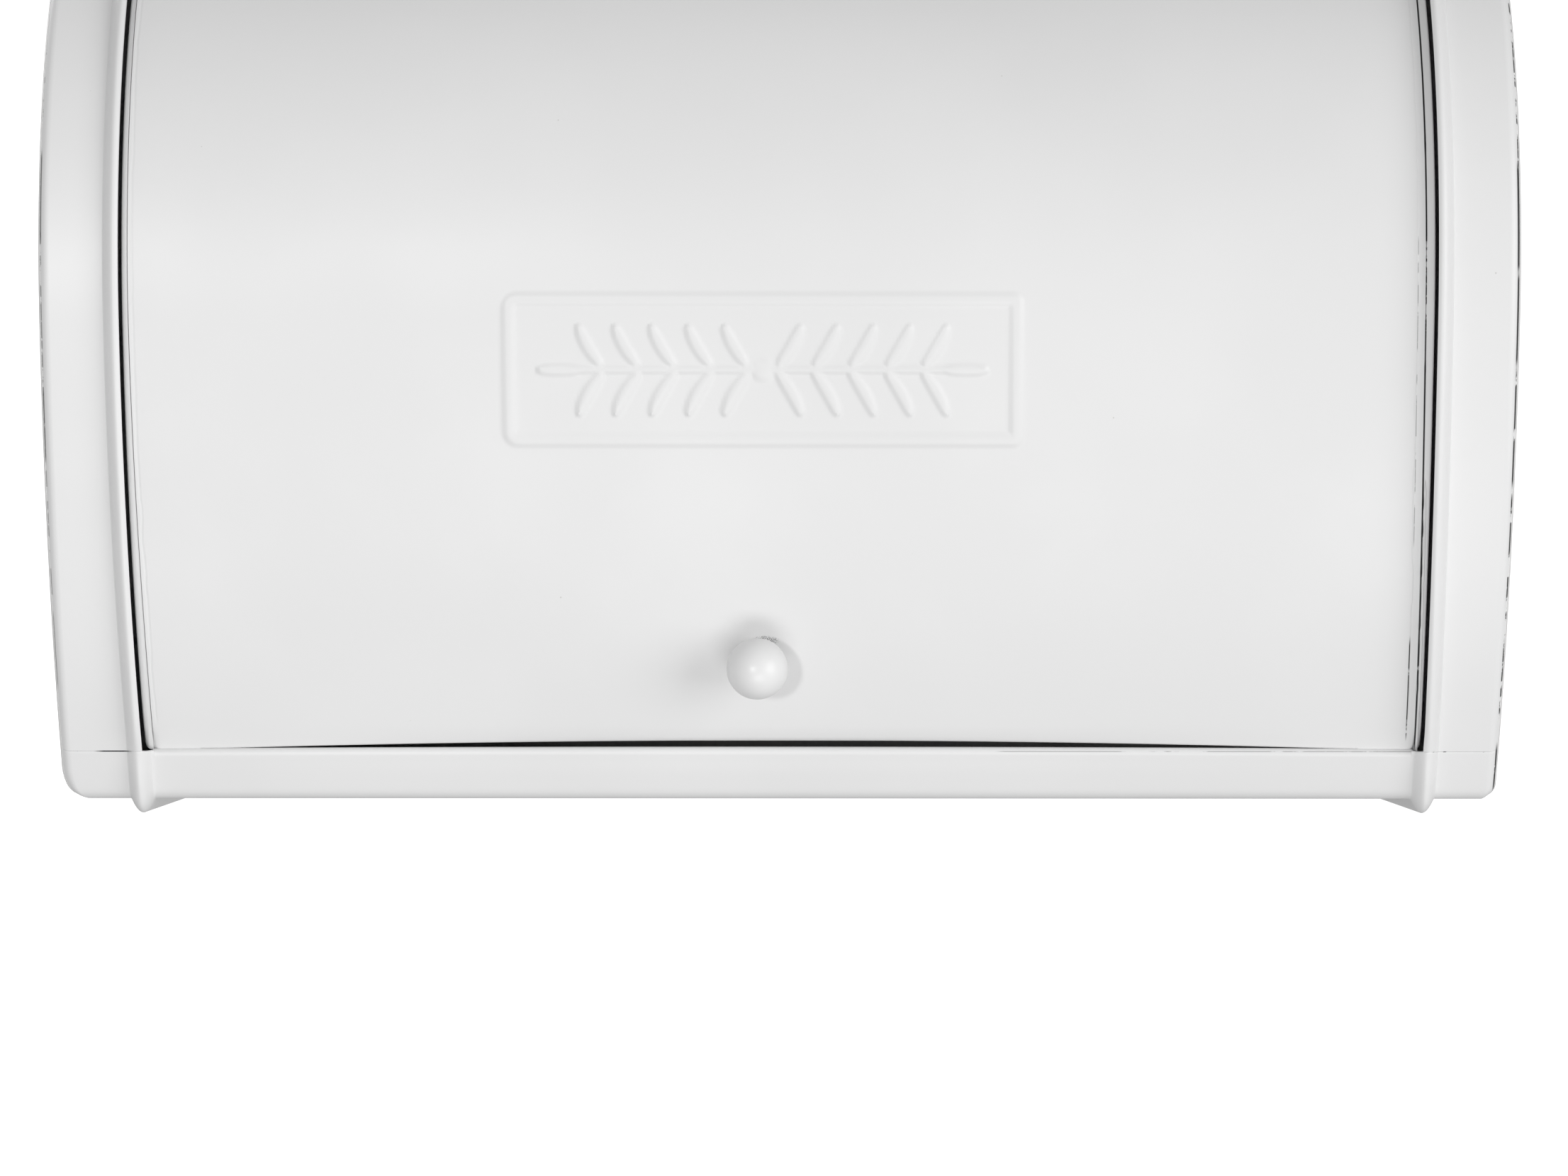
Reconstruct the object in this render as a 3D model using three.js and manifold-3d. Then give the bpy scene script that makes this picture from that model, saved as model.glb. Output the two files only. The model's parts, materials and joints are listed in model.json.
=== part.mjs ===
// A roll-top bread box in sheet steel, in millimetres.
// X is the width, the front faces -Y and Z is up. The origin is on the table, under the lid's pivot.
// Sheet pieces are lofted along X from one side outline, which is drawn about the pivot in Y and Z.

import * as THREE from 'three';
import { mergeVertices } from 'three/addons/utils/BufferGeometryUtils.js';
import Module from 'manifold-3d';

const wasm = await Module();
wasm.setup();

const degrees = Math.PI / 180;
const quarterTurn = Math.PI / 2;
const halfTurn = Math.PI;
const fullTurn = 2 * Math.PI;

// Side outline of the box, outside the sheet
const width = 350;
const archRadius = 104;                  // round the top, about the pivot
const pivotAboveBottom = 133;            // from the underside of the bottom sheet
const archBelowPivot = 10.3 * degrees;   // the arch runs this far down the front
const frontRadius = 327;                 // flatter lower front, which tucks back to the base
const frontCornerRadius = 5;
const backCornerRadius = 12;
const leastCornerRadius = 1;

// Sheets and the gaps between them
const sheet = 0.8;
const seamGap = 0.3;                     // between fixed pieces
const runningGap = 0.8;                  // between the lid and the fixed top it slides under
const overrun = 20;                      // how far a cut runs past what it cuts

// Beads pressed in the wrap and the tray, which are the runners underneath
const beadHeight = 3.5;
const beadWidth = 6.4;
const beadFromSide = 18.3;               // the crown, in from the side of the box
const beadShares = [[-1, 0], [-0.64, 0.5], [-0.36, 0.85], [-0.15, 1], [0.15, 1], [0.36, 0.85], [0.64, 0.5], [1, 0]];

// Window in the wrap for the lid
const windowInsideCrown = 1.3;           // its side edge, in from the bead's crown
const topSheetAngle = 100 * degrees;     // front edge of the fixed top

// Base lip
const lipHeight = 11.7;
const lipBow = 0.9;                      // the front lip is higher in the middle
const lipHem = 6;                        // its edge, folded down inside

// Vent holes in the back
const ventRadius = 3;
const ventPitch = 16;
const ventColumns = 7;
const ventRows = 2;
const ventBelowPivot = 26;
const ventSides = 10;

// Side panels: drawn pans with a rolled hem at the outside
const hemRadius = 3;
const hemWidth = 0.8;                    // the part of the roll that covers the band's edge
const rimWidth = 5;                      // from the outside of the roll to the pan's wall
const panelDepth = 15;
const panelTaper = 2;                    // the wall leans in this much over its depth
const panelFillet = 4;
const hemShares = [[0, 1], [0.3, 0.95], [0.55, 0.83], [0.8, 0.6], [0.95, 0.31], [1, 0]];

// Lid
const lidTopAngle = 94 * degrees;        // its top edge, tucked under the fixed top
const lidOpens = 82 * degrees;
const lidGap = 0.6;                      // above the lip's ends
const lidBow = 1.9;                      // its lower edge is higher in the middle
const lidCornerRadius = 2.5;
const lidHem = 8;                        // its lower edge, folded up inside
const lidSideGap = 0.7;                  // wing to window
const lidSheetInset = 1.8;               // lid sheet's edge, in from the wing's outside
const wingCornerRadius = 1.3;
const wingFlange = 12;
const wingHub = 15;
const wingCut = 3 * degrees;             // the pan behind a wing runs out past its straight edges

// Raised frame on the lid
const frameWidth = 124;
const frameHeight = 37;
const frameRib = 3.5;
const frameRelief = 0.8;
const frameShoulder = 0.7;               // a lower step on each side of the rib
const frameCorner = 2.2;
const frameBelowPivot = 29.4;            // its middle
const frameLeftOfCentre = 3.8;

// Knob
const knobRadius = 7;
const knobNeckRadius = 2.7;
const knobBaseRadius = 3.2;
const knobBaseHeight = 0.8;
const knobStandOff = 10.4;               // ball centre to lid
const knobBelowPivot = 97;
const knobLeftOfCentre = 5.6;
const knobBoreDepth = 9;

// Fasteners
const pivotRadius = 2.5;
const pivotHeadRadius = 5.5;
const pivotHeadHeight = 2;
const peenRadius = 4.4;
const peenHeight = 1.4;
const boreGap = 0.3;
const spacerRadius = 8;
const washerRadius = 6.2;
const washerThickness = 0.8;
const screwRadius = 1.5;
const screwHeadRadius = 4;
const screwHeadHeight = 2.2;
const knobWasherRadius = 5.2;

// Stops pressed in the side panels, which the wings' straight edges meet
const stopRadius = 3;
const stopFootRadius = 5.5;
const stopInsideArch = 20;               // its middle, in from the arch
const stopPastWing = 0.4;

// Facets
const archSteps = 28;
const frontSteps = 6;
const cornerSteps = 3;
const edgeSteps = 14;
const smallSides = 20;

// Sizes that follow
const halfWidth = width / 2;
const lidOutside = -(sheet + runningGap);
const wingOutside = lidOutside - sheet - seamGap;
const bandEdge = halfWidth - hemWidth - seamGap;
const beadCrown = halfWidth - beadFromSide;
const windowEdge = beadCrown - windowInsideCrown;
const wingFace = windowEdge - lidSideGap;
const lidEdge = wingFace - lidSheetInset;
const panelFace = halfWidth - panelDepth;
const panelInside = panelFace - sheet;
const pivotAboveTable = pivotAboveBottom + beadHeight;
const stopFromPivot = archRadius - stopInsideArch;
const frontCentre = new THREE.Vector2(Math.cos(archBelowPivot), Math.sin(archBelowPivot))
  .multiplyScalar(frontRadius - archRadius);

// Axes for shapes: a side outline is extruded along X, and a front view along -Y
const sideView = new THREE.Matrix4().makeBasis(
  new THREE.Vector3(0, 1, 0), new THREE.Vector3(0, 0, 1), new THREE.Vector3(1, 0, 0));
const frontView = new THREE.Matrix4().makeBasis(
  new THREE.Vector3(1, 0, 0), new THREE.Vector3(0, 0, 1), new THREE.Vector3(0, -1, 0));

// Solids

function toSolid(geometry) {
  const bare = geometry.index ? geometry.toNonIndexed() : geometry.clone();
  bare.deleteAttribute('normal');
  bare.deleteAttribute('uv');
  const merged = mergeVertices(bare);
  const vertProperties = new Float32Array(merged.attributes.position.array);
  const triVerts = new Uint32Array(merged.index.array);
  return new wasm.Manifold(new wasm.Mesh({ numProp: 3, vertProperties, triVerts }));
}

function toGeometry(solid) {
  const mesh = solid.getMesh();
  const geometry = new THREE.BufferGeometry();
  geometry.setAttribute('position', new THREE.BufferAttribute(new Float32Array(mesh.vertProperties), 3));
  geometry.setIndex(new THREE.BufferAttribute(new Uint32Array(mesh.triVerts), 1));
  geometry.computeVertexNormals();
  return geometry;
}

function extrude(shape, depth, basis, start) {
  const geometry = new THREE.ExtrudeGeometry(shape, { depth, bevelEnabled: false });
  geometry.translate(0, 0, start);
  return toSolid(geometry.applyMatrix4(basis));
}

// A solid through a row of like outlines, each an array of points in one plane across X
function loft(sections) {
  const count = sections[0].length;
  const positions = sections.flat().flatMap((point) => [point.x, point.y, point.z]);
  const faces = [];
  for (let row = 0; row < sections.length - 1; row += 1) {
    for (let column = 0; column < count; column += 1) {
      const next = (column + 1) % count;
      const a = row * count + column;
      const b = row * count + next;
      const c = (row + 1) * count + next;
      const d = (row + 1) * count + column;
      faces.push(a, b, c, a, c, d);
    }
  }
  const caps = [[sections[0], 0, true], [sections.at(-1), (sections.length - 1) * count, false]];
  for (const [section, first, reversed] of caps) {
    const flat = section.map((point) => new THREE.Vector2(point.y, point.z));
    for (const [a, b, c] of THREE.ShapeUtils.triangulateShape(flat, [])) {
      faces.push(first + a, first + (reversed ? c : b), first + (reversed ? b : c));
    }
  }
  const geometry = new THREE.BufferGeometry();
  geometry.setAttribute('position', new THREE.Float32BufferAttribute(positions, 3));
  geometry.setIndex(faces);
  return toSolid(geometry);
}

// Each station is [x, offset]: the outline at that place across the box, grown by the offset
function loftAcross(stations, outline) {
  return loft(stations.map(([x, offset]) => outline(offset).map((p) => new THREE.Vector3(x, p.x, p.y))));
}

function mirrorStations(stations) {
  return [...stations].reverse().map(([x, offset]) => [-x, offset]).concat(stations);
}

function box(lowX, highX, lowY, highY, lowZ, highZ) {
  const geometry = new THREE.BoxGeometry(highX - lowX, highY - lowY, highZ - lowZ);
  geometry.translate((lowX + highX) / 2, (lowY + highY) / 2, (lowZ + highZ) / 2);
  return toSolid(geometry);
}

// A turned piece along X. Its profile is a list of [x, radius] that starts and ends on the axis or closes.
function turned(profile, sides = smallSides) {
  const points = profile.map(([x, radius]) => new THREE.Vector2(radius, x));
  const geometry = new THREE.LatheGeometry(points, sides);
  return toSolid(geometry.rotateZ(-quarterTurn));
}

function ring(startX, endX, innerRadius, outerRadius) {
  const profile = [[startX, innerRadius], [startX, outerRadius], [endX, outerRadius], [endX, innerRadius]];
  return turned([...profile, profile[0]]);
}

function rod(startX, endX, radius, sides = smallSides) {
  return turned([[startX, 0], [startX, radius], [endX, radius], [endX, 0]], sides);
}

// Side outline

function arc(centre, radius, startAngle, endAngle, steps) {
  const curve = new THREE.EllipseCurve(centre.x, centre.y, radius, radius, startAngle, endAngle, false);
  return curve.getPoints(steps);
}

// The angle, about the lower front's centre, at which that arc reaches a height above the bottom sheet
function frontAngle(height, offset) {
  const drop = frontCentre.y + pivotAboveBottom - height;
  return halfTurn + Math.asin(drop / (frontRadius + offset));
}

// The lid's own curve: down the arch and the lower front
function frontCurve(offset, startAngle, endAngle) {
  const pivot = new THREE.Vector2();
  const archEnd = halfTurn + archBelowPivot;
  const steps = Math.ceil(archSteps * (archEnd - startAngle) / archEnd);
  const arch = arc(pivot, archRadius + offset, startAngle, archEnd, steps);
  const front = arc(frontCentre, frontRadius + offset, archEnd, endAngle, frontSteps);
  return arch.concat(front.slice(1));
}

// The whole outline, from the back at the pivot's height, over the top and down the front
function boxOutline(offset) {
  const frontCorner = Math.max(frontCornerRadius + offset, leastCornerRadius);
  const backCorner = Math.max(backCornerRadius + offset, leastCornerRadius);
  const bottom = -pivotAboveBottom - offset;
  const reach = frontRadius + offset - frontCorner;
  const angle = halfTurn + Math.asin((frontCentre.y - bottom - frontCorner) / reach);
  const frontCornerCentre = new THREE.Vector2(Math.cos(angle), Math.sin(angle))
    .multiplyScalar(reach).add(frontCentre);
  const backCornerCentre = new THREE.Vector2(archRadius + offset - backCorner, bottom + backCorner);
  return [
    ...frontCurve(offset, 0, angle),
    ...arc(frontCornerCentre, frontCorner, angle, halfTurn + quarterTurn, cornerSteps).slice(1),
    ...arc(backCornerCentre, backCorner, halfTurn + quarterTurn, fullTurn, cornerSteps + 1),
  ];
}

// The curved shell shared by the wrap and the tray: bands, beads and the sheet between them
function bodyShell() {
  const rollStart = halfWidth - hemRadius;
  const roll = hemShares.map(([across, high]) => [rollStart + across * hemRadius, (high - 1) * hemRadius]);
  const bandEnd = roll.filter(([x]) => x < bandEdge);
  const bead = beadShares.map(([across, high]) => [beadCrown + across * beadWidth / 2, high * beadHeight]);
  const edgeOffset = -hemRadius + Math.sqrt(hemRadius ** 2 - (bandEdge - rollStart) ** 2);
  const outside = mirrorStations([...bead, ...bandEnd, [bandEdge, edgeOffset]]);
  const innerWidth = beadWidth - sheet;
  const innerBead = beadShares.map(([across, high]) => [
    beadCrown + across * innerWidth / 2, high * (beadHeight - sheet / 2) - sheet]);
  const inside = mirrorStations([...innerBead, [halfWidth + overrun, -sheet]]);
  return loftAcross(outside, boxOutline).subtract(loftAcross(inside, boxOutline));
}

// Body

const shell = bodyShell();
const far = archRadius + overrun;
const seam = -pivotAboveBottom + lipHeight;

function windowCut() {
  const shape = new THREE.Shape();
  shape.moveTo(0, 0);
  shape.lineTo(far * Math.cos(topSheetAngle), far * Math.sin(topSheetAngle));
  shape.lineTo(-far, far);
  shape.lineTo(-far, seam - overrun);
  shape.lineTo(0, seam - overrun);
  shape.closePath();
  return extrude(shape, 2 * windowEdge, sideView, -windowEdge);
}

function ventCuts() {
  const cuts = [];
  for (let row = 0; row < ventRows; row += 1) {
    for (let column = 0; column < ventColumns; column += 1) {
      const hole = new THREE.CylinderGeometry(ventRadius, ventRadius, overrun, ventSides);
      const x = (column - (ventColumns - 1) / 2) * ventPitch;
      hole.translate(x, archRadius, -ventBelowPivot - row * ventPitch);
      cuts.push(toSolid(hole));
    }
  }
  return wasm.Manifold.union(cuts);
}

function bodyWrap() {
  const belowSeam = box(-width, width, -2 * far, 2 * far, -2 * far, seam + seamGap);
  return shell.subtract(belowSeam).subtract(windowCut()).subtract(ventCuts());
}

// Points along an edge that is bowed up in the middle, from right to left
function bowedEdge(halfLength, endHeight, bow) {
  const points = [];
  for (let step = 0; step <= edgeSteps; step += 1) {
    const across = 1 - 2 * step / edgeSteps;
    points.push(new THREE.Vector2(across * halfLength, endHeight + bow * (1 - across ** 2)));
  }
  return points;
}

// A sheet between two offsets that follows the arch and the lower front, down to the bottom
function curvedSheet(outer, inner, startAngle, halfLength) {
  const endAngle = frontAngle(frontCornerRadius, outer);
  const outside = frontCurve(outer, startAngle, endAngle);
  const inside = frontCurve(inner, startAngle, endAngle).reverse();
  return extrude(new THREE.Shape(outside.concat(inside)), 2 * halfLength, sideView, -halfLength);
}

function bottomTray() {
  const floor = -pivotAboveBottom - beadHeight - overrun;
  const back = box(-width, width, 0, far, floor, seam);
  const front = new THREE.Shape([
    new THREE.Vector2(-width, floor), new THREE.Vector2(width, floor), new THREE.Vector2(width, seam),
    ...bowedEdge(windowEdge, seam, lipBow), new THREE.Vector2(-width, seam)]);
  const upToSeam = back.add(extrude(front, far + overrun, frontView, -overrun));
  const aboveHem = box(-width, width, -far, 0, seam - lipHem, seam + overrun);
  const hem = curvedSheet(-sheet / 2, -2 * sheet, halfTurn, beadCrown - beadWidth / 2).intersect(aboveHem);
  return shell.add(hem).intersect(upToSeam);
}

function stop(centreAngle) {
  const past = wingFace - sheet - stopPastWing;
  const y = stopFromPivot * Math.cos(centreAngle);
  const z = stopFromPivot * Math.sin(centreAngle);
  const foot = panelInside + sheet / 2;
  return turned([[past, 0], [past, stopRadius], [foot, stopFootRadius], [foot, 0]]).translate(0, y, z);
}

// The right-hand side panel
function sidePanel() {
  const rollStart = halfWidth - hemRadius;
  const hemStart = halfWidth - hemWidth;
  const wallTop = halfWidth - hemRadius / 3;
  const wallAt = (x) => -rimWidth - panelTaper * (wallTop - x) / (wallTop - panelFace);
  const filletStart = panelFace + panelFillet;
  const roll = hemShares.map(([across, high]) => [rollStart + across * hemRadius, (high - 1) * hemRadius]);
  const hem = roll.filter(([x]) => x > hemStart);
  const hemOffset = -hemRadius + Math.sqrt(hemRadius ** 2 - (hemStart - rollStart) ** 2);
  const fillet = hemShares.slice(1, -1).map(([across, high]) => [
    panelFace + panelFillet * (1 - high), wallAt(filletStart) - panelFillet * (1 - across)]);
  const pan = [
    [panelFace, wallAt(filletStart) - panelFillet],
    ...fillet.sort((one, other) => one[0] - other[0]),
    [filletStart, wallAt(filletStart)],
    [wallTop, wallAt(wallTop)],
    [halfWidth, -hemRadius - (rimWidth - hemRadius) / 3],
    [halfWidth + overrun, -hemRadius - (rimWidth - hemRadius) / 3],
  ];
  const outside = [
    [panelInside, wallAt(filletStart) - panelFillet + sheet],
    [panelFace, wallAt(filletStart) - panelFillet / 3 + sheet],
    [filletStart, wallAt(filletStart) + sheet],
    [hemStart, wallAt(hemStart) + sheet],
    [hemStart, hemOffset],
    ...hem,
  ];
  const drawn = loftAcross(outside, boxOutline).subtract(loftAcross(pan, boxOutline));
  const edgeClearance = Math.asin((stopFootRadius + seamGap) / stopFromPivot);
  const closedStop = stop(wingEndAngle + edgeClearance);
  const openStop = stop(wingStartAngle - lidOpens - edgeClearance);
  const bore = rod(panelInside - overrun, panelFace + overrun, pivotRadius + boreGap);
  return drawn.add(closedStop).add(openStop).subtract(bore);
}

// Lid

const lidEndHeight = lipHeight + lidGap;

// A wing's outline: the lid's curve closed by two straight edges to a round hub at the pivot
function wingOutline(offset, startAngle, endFrontAngle, hub) {
  const curve = frontCurve(offset, startAngle, endFrontAngle);
  const corner = curve.at(-1);
  const endAngle = Math.atan2(corner.y, corner.x) + fullTurn;
  return curve.concat(arc(new THREE.Vector2(), hub, endAngle, startAngle + fullTurn, cornerSteps * 2));
}

const wingStartAngle = lidTopAngle;
const wingFrontAngle = frontAngle(lidEndHeight + lidCornerRadius / 2, wingOutside);
const wingLowCorner = frontCurve(wingOutside, wingStartAngle, wingFrontAngle).at(-1);
const wingEndAngle = Math.atan2(wingLowCorner.y, wingLowCorner.x) + fullTurn;

// Everything below the lid's bowed lower edge, with the fillets of its two corners
function belowLidEdge() {
  const low = -pivotAboveBottom + lidEndHeight;
  const floor = low - overrun;
  const straight = lidEdge - lidCornerRadius;
  const cornerCentre = new THREE.Vector2(straight, low + lidCornerRadius);
  const rightCorner = arc(cornerCentre, lidCornerRadius, -quarterTurn, 0, cornerSteps).reverse();
  const leftCorner = rightCorner.map((point) => new THREE.Vector2(-point.x, point.y)).reverse();
  const outline = [
    new THREE.Vector2(-lidEdge - overrun, floor), new THREE.Vector2(lidEdge + overrun, floor),
    new THREE.Vector2(lidEdge + overrun, low + lidCornerRadius),
    ...rightCorner, ...bowedEdge(straight, low, lidBow).slice(1, -1), ...leftCorner,
    new THREE.Vector2(-lidEdge - overrun, low + lidCornerRadius),
  ];
  return extrude(new THREE.Shape(outline), 2 * far, frontView, 0);
}

function roundedRectangle(halfLength, halfHeight, radius) {
  const corners = [[1, 1, 0], [-1, 1, 1], [-1, -1, 2], [1, -1, 3]];
  return corners.flatMap(([sideX, sideZ, turn]) => {
    const centre = new THREE.Vector2(sideX * (halfLength - radius), sideZ * (halfHeight - radius));
    return arc(centre, radius, turn * quarterTurn, (turn + 1) * quarterTurn, cornerSteps);
  });
}

// One step of the raised frame, drawn in from both sides of the rib
function frameStep(inset, relief) {
  const middle = new THREE.Vector2(-frameLeftOfCentre, -frameBelowPivot);
  const rectangle = (margin) => roundedRectangle(frameWidth / 2 - margin, frameHeight / 2 - margin,
    Math.max(frameCorner - margin, leastCornerRadius)).map((point) => point.add(middle));
  const shape = new THREE.Shape(rectangle(inset));
  shape.holes.push(new THREE.Path(rectangle(frameRib - inset)));
  const skin = curvedSheet(lidOutside + relief, lidOutside - sheet / 2, lidTopAngle, lidEdge);
  return skin.intersect(extrude(shape, far, frontView, 0));
}

// The raised frame: a rounded rectangular rib that follows the lid's curve
function raisedFrame() {
  return frameStep(0, frameRelief / 2).add(frameStep(frameShoulder, frameRelief));
}

// The knob's seat on the lid: the point on the lid's outside and the angle its axis leans down
function knobSeat() {
  const radius = frontRadius + lidOutside;
  const lean = Math.asin((frontCentre.y + knobBelowPivot) / radius);
  return { lean, y: frontCentre.x - radius * Math.cos(lean), z: -knobBelowPivot };
}

// Turns a piece made along X so that +X points out of the lid at the knob, and moves it to the seat
function seatOnLid(solid) {
  const { lean, y, z } = knobSeat();
  const matrix = new THREE.Matrix4().makeBasis(
    new THREE.Vector3(0, -Math.cos(lean), -Math.sin(lean)),
    new THREE.Vector3(0, Math.sin(lean), -Math.cos(lean)),
    new THREE.Vector3(1, 0, 0));
  matrix.setPosition(-knobLeftOfCentre, y, z);
  return solid.transform(matrix.elements);
}

function lidPanel() {
  const screwHole = seatOnLid(rod(-overrun, overrun, screwRadius + boreGap));
  const low = -pivotAboveBottom + lidEndHeight;
  const hemEdge = wingFace - wingFlange - seamGap;
  const hem = curvedSheet(lidOutside - sheet / 2, lidOutside - 2 * sheet, halfTurn, hemEdge)
    .intersect(box(-width, width, -far, 0, -far - overrun, low + lidHem));
  return curvedSheet(lidOutside, lidOutside - sheet, lidTopAngle, lidEdge)
    .add(hem).add(raisedFrame()).subtract(belowLidEdge()).subtract(screwHole);
}

// The right-hand wing: a pressed pan with its flange under the lid sheet
function lidWing() {
  const roll = hemShares.map(([across, high]) => [
    wingFace - wingCornerRadius * (1 - across), wingOutside - wingCornerRadius * (1 - high)]);
  const outline = (offset) => wingOutline(offset, wingStartAngle, wingFrontAngle, wingHub);
  const outside = [[wingFace - wingFlange, wingOutside], ...roll];
  const widerEnd = wingFrontAngle + wingCut;
  const widerOutline = (offset) => wingOutline(offset, wingStartAngle - wingCut, widerEnd, wingHub + overrun);
  const back = wingFace - sheet;
  const inside = [
    [wingFace - wingFlange - overrun, wingOutside - sheet],
    [back - wingCornerRadius + sheet, wingOutside - sheet],
    [back, wingOutside - wingCornerRadius],
  ];
  const bore = rod(back - overrun, wingFace + overrun, pivotRadius + boreGap);
  return loftAcross(outside, outline).subtract(loftAcross(inside, widerOutline)).subtract(bore);
}

// Pivot hardware on the right, from the outside in

function pivotRivet() {
  const head = panelFace + seamGap;
  const peen = wingFace - sheet - seamGap - washerThickness - seamGap;
  return turned([
    [peen - peenHeight, 0], [peen - peenHeight, peenRadius / 2], [peen - peenHeight / 2, peenRadius * 0.86],
    [peen, peenRadius], [peen, pivotRadius], [head, pivotRadius], [head, pivotHeadRadius],
    [head + pivotHeadHeight / 2, pivotHeadRadius * 0.86], [head + pivotHeadHeight, pivotHeadRadius / 2],
    [head + pivotHeadHeight, 0]]);
}

function pivotSpacer() {
  return ring(wingFace + seamGap, panelInside - seamGap, pivotRadius + boreGap, spacerRadius);
}

function pivotWasher() {
  const outer = wingFace - sheet - seamGap;
  return ring(outer - washerThickness, outer, pivotRadius + boreGap, washerRadius);
}

// Knob, in place of its own X axis

function lidKnob() {
  const base = seamGap;
  const profile = [[base + knobBoreDepth, 0], [base + knobBoreDepth, screwRadius + boreGap],
    [base, screwRadius + boreGap], [base, knobBaseRadius], [base + knobBaseHeight, knobBaseRadius],
    [base + knobBaseHeight + (knobBaseRadius - knobNeckRadius) / 2, knobNeckRadius]];
  const neckAngle = Math.asin(knobNeckRadius / knobRadius);
  const centre = new THREE.Vector2(knobStandOff, 0);
  const ball = arc(centre, knobRadius, neckAngle - halfTurn, 0, smallSides / 2);
  profile.push(...ball.map((point) => [point.x, Math.max(-point.y, 0)]));
  return seatOnLid(turned(profile));
}

function knobScrew() {
  const seat = -sheet - seamGap - washerThickness - seamGap;
  return seatOnLid(turned([
    [seat - screwHeadHeight, 0], [seat - screwHeadHeight, screwHeadRadius / 2],
    [seat - screwHeadHeight / 2, screwHeadRadius * 0.88], [seat, screwHeadRadius], [seat, screwRadius],
    [knobBoreDepth, screwRadius], [knobBoreDepth, 0]]));
}

function knobWasher() {
  const outer = -sheet - seamGap;
  return seatOnLid(ring(outer - washerThickness, outer, screwRadius + boreGap, knobWasherRadius));
}

// Assembly

const white = new THREE.Color(0.86, 0.86, 0.85);
const steel = new THREE.Color(0.62, 0.62, 0.6);
const enamel = () => new THREE.MeshStandardMaterial({ color: white, roughness: 0.38, metalness: 0 });
const zinc = () => new THREE.MeshStandardMaterial({ color: steel, roughness: 0.35, metalness: 1 });
const nylon = () => new THREE.MeshStandardMaterial({ color: 0xe6e4dc, roughness: 0.5, metalness: 0 });

function piece(name, solid, material) {
  const mesh = new THREE.Mesh(toGeometry(solid), material);
  mesh.name = name;
  return mesh;
}

// The left-hand piece of a pair is the right-hand one mirrored across the middle of the box
function pair(name, solid, material) {
  return [piece(`${name}_right`, solid, material()), piece(`${name}_left`, solid.mirror([1, 0, 0]), material())];
}

const body = new THREE.Group();
body.add(
  piece('body_wrap', bodyWrap(), enamel()),
  piece('bottom_tray', bottomTray(), enamel()),
  ...pair('side_panel', sidePanel(), enamel),
  ...pair('pivot_rivet', pivotRivet(), zinc),
  ...pair('pivot_spacer', pivotSpacer(), nylon),
  ...pair('pivot_washer', pivotWasher(), zinc),
);

const lid = new THREE.Group();
lid.add(
  piece('lid_panel', lidPanel(), enamel()),
  ...pair('lid_wing', lidWing(), enamel),
  piece('lid_knob', lidKnob(), enamel()),
  piece('knob_screw', knobScrew(), zinc()),
  piece('knob_washer', knobWasher(), zinc()),
);

const group = new THREE.Group();
group.add(body, lid);
group.position.set(0, 0, pivotAboveTable);

export default group;
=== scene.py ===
import json
import math
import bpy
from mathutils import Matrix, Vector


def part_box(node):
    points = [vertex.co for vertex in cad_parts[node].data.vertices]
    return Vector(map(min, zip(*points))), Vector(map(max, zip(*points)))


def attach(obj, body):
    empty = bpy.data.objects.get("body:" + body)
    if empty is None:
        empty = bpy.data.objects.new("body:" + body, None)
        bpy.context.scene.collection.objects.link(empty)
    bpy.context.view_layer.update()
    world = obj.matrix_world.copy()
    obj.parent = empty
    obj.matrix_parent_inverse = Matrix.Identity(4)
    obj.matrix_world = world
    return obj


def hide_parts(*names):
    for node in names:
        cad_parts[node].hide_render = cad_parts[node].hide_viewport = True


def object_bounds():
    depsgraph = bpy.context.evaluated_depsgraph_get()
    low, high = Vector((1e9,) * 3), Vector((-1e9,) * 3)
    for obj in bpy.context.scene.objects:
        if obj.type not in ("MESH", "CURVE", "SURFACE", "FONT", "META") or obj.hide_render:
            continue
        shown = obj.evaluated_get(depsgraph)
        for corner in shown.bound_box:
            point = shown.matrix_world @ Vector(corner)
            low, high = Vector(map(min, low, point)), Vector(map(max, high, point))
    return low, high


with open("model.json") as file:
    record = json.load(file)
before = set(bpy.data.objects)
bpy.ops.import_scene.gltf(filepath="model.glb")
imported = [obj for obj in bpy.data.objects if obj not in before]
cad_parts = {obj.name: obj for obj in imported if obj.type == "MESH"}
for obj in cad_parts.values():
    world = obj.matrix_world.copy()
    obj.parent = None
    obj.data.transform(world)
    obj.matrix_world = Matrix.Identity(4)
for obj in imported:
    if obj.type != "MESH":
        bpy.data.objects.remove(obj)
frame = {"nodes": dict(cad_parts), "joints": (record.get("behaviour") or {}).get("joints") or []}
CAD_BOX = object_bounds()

from types import SimpleNamespace

import bmesh
import bpy
from bpy.props import FloatProperty, FloatVectorProperty, IntProperty, PointerProperty
from mathutils import Matrix, Vector

bl_info = {
    "name": "Roll-top bread box",
    "version": (1, 0, 0),
    "blender": (4, 5, 0),
    "location": "View3D > Sidebar > Bread Box",
    "description": "Builds a white powder-coated bread box with a roll-top lid, and a plain stage for it",
    "category": "Add Mesh",
}

X_AXIS = Vector((1, 0, 0))
RIGHT_ANGLE = math.pi / 2
SIDES = (("right", 1), ("left", -1))

# From the frame: the pivot's place, and half the width over the side panels' hems
PIVOT = Vector(frame["joints"][0]["pos_m"])
HALF_WIDTH = float(CAD_BOX[1][0])


# Settings

def length(name, description, default):
    return FloatProperty(name=name, description=description, default=default, unit="LENGTH", precision=4)


def angle(name, description, degrees):
    return FloatProperty(name=name, description=description, default=math.radians(degrees), unit="ROTATION")


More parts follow.
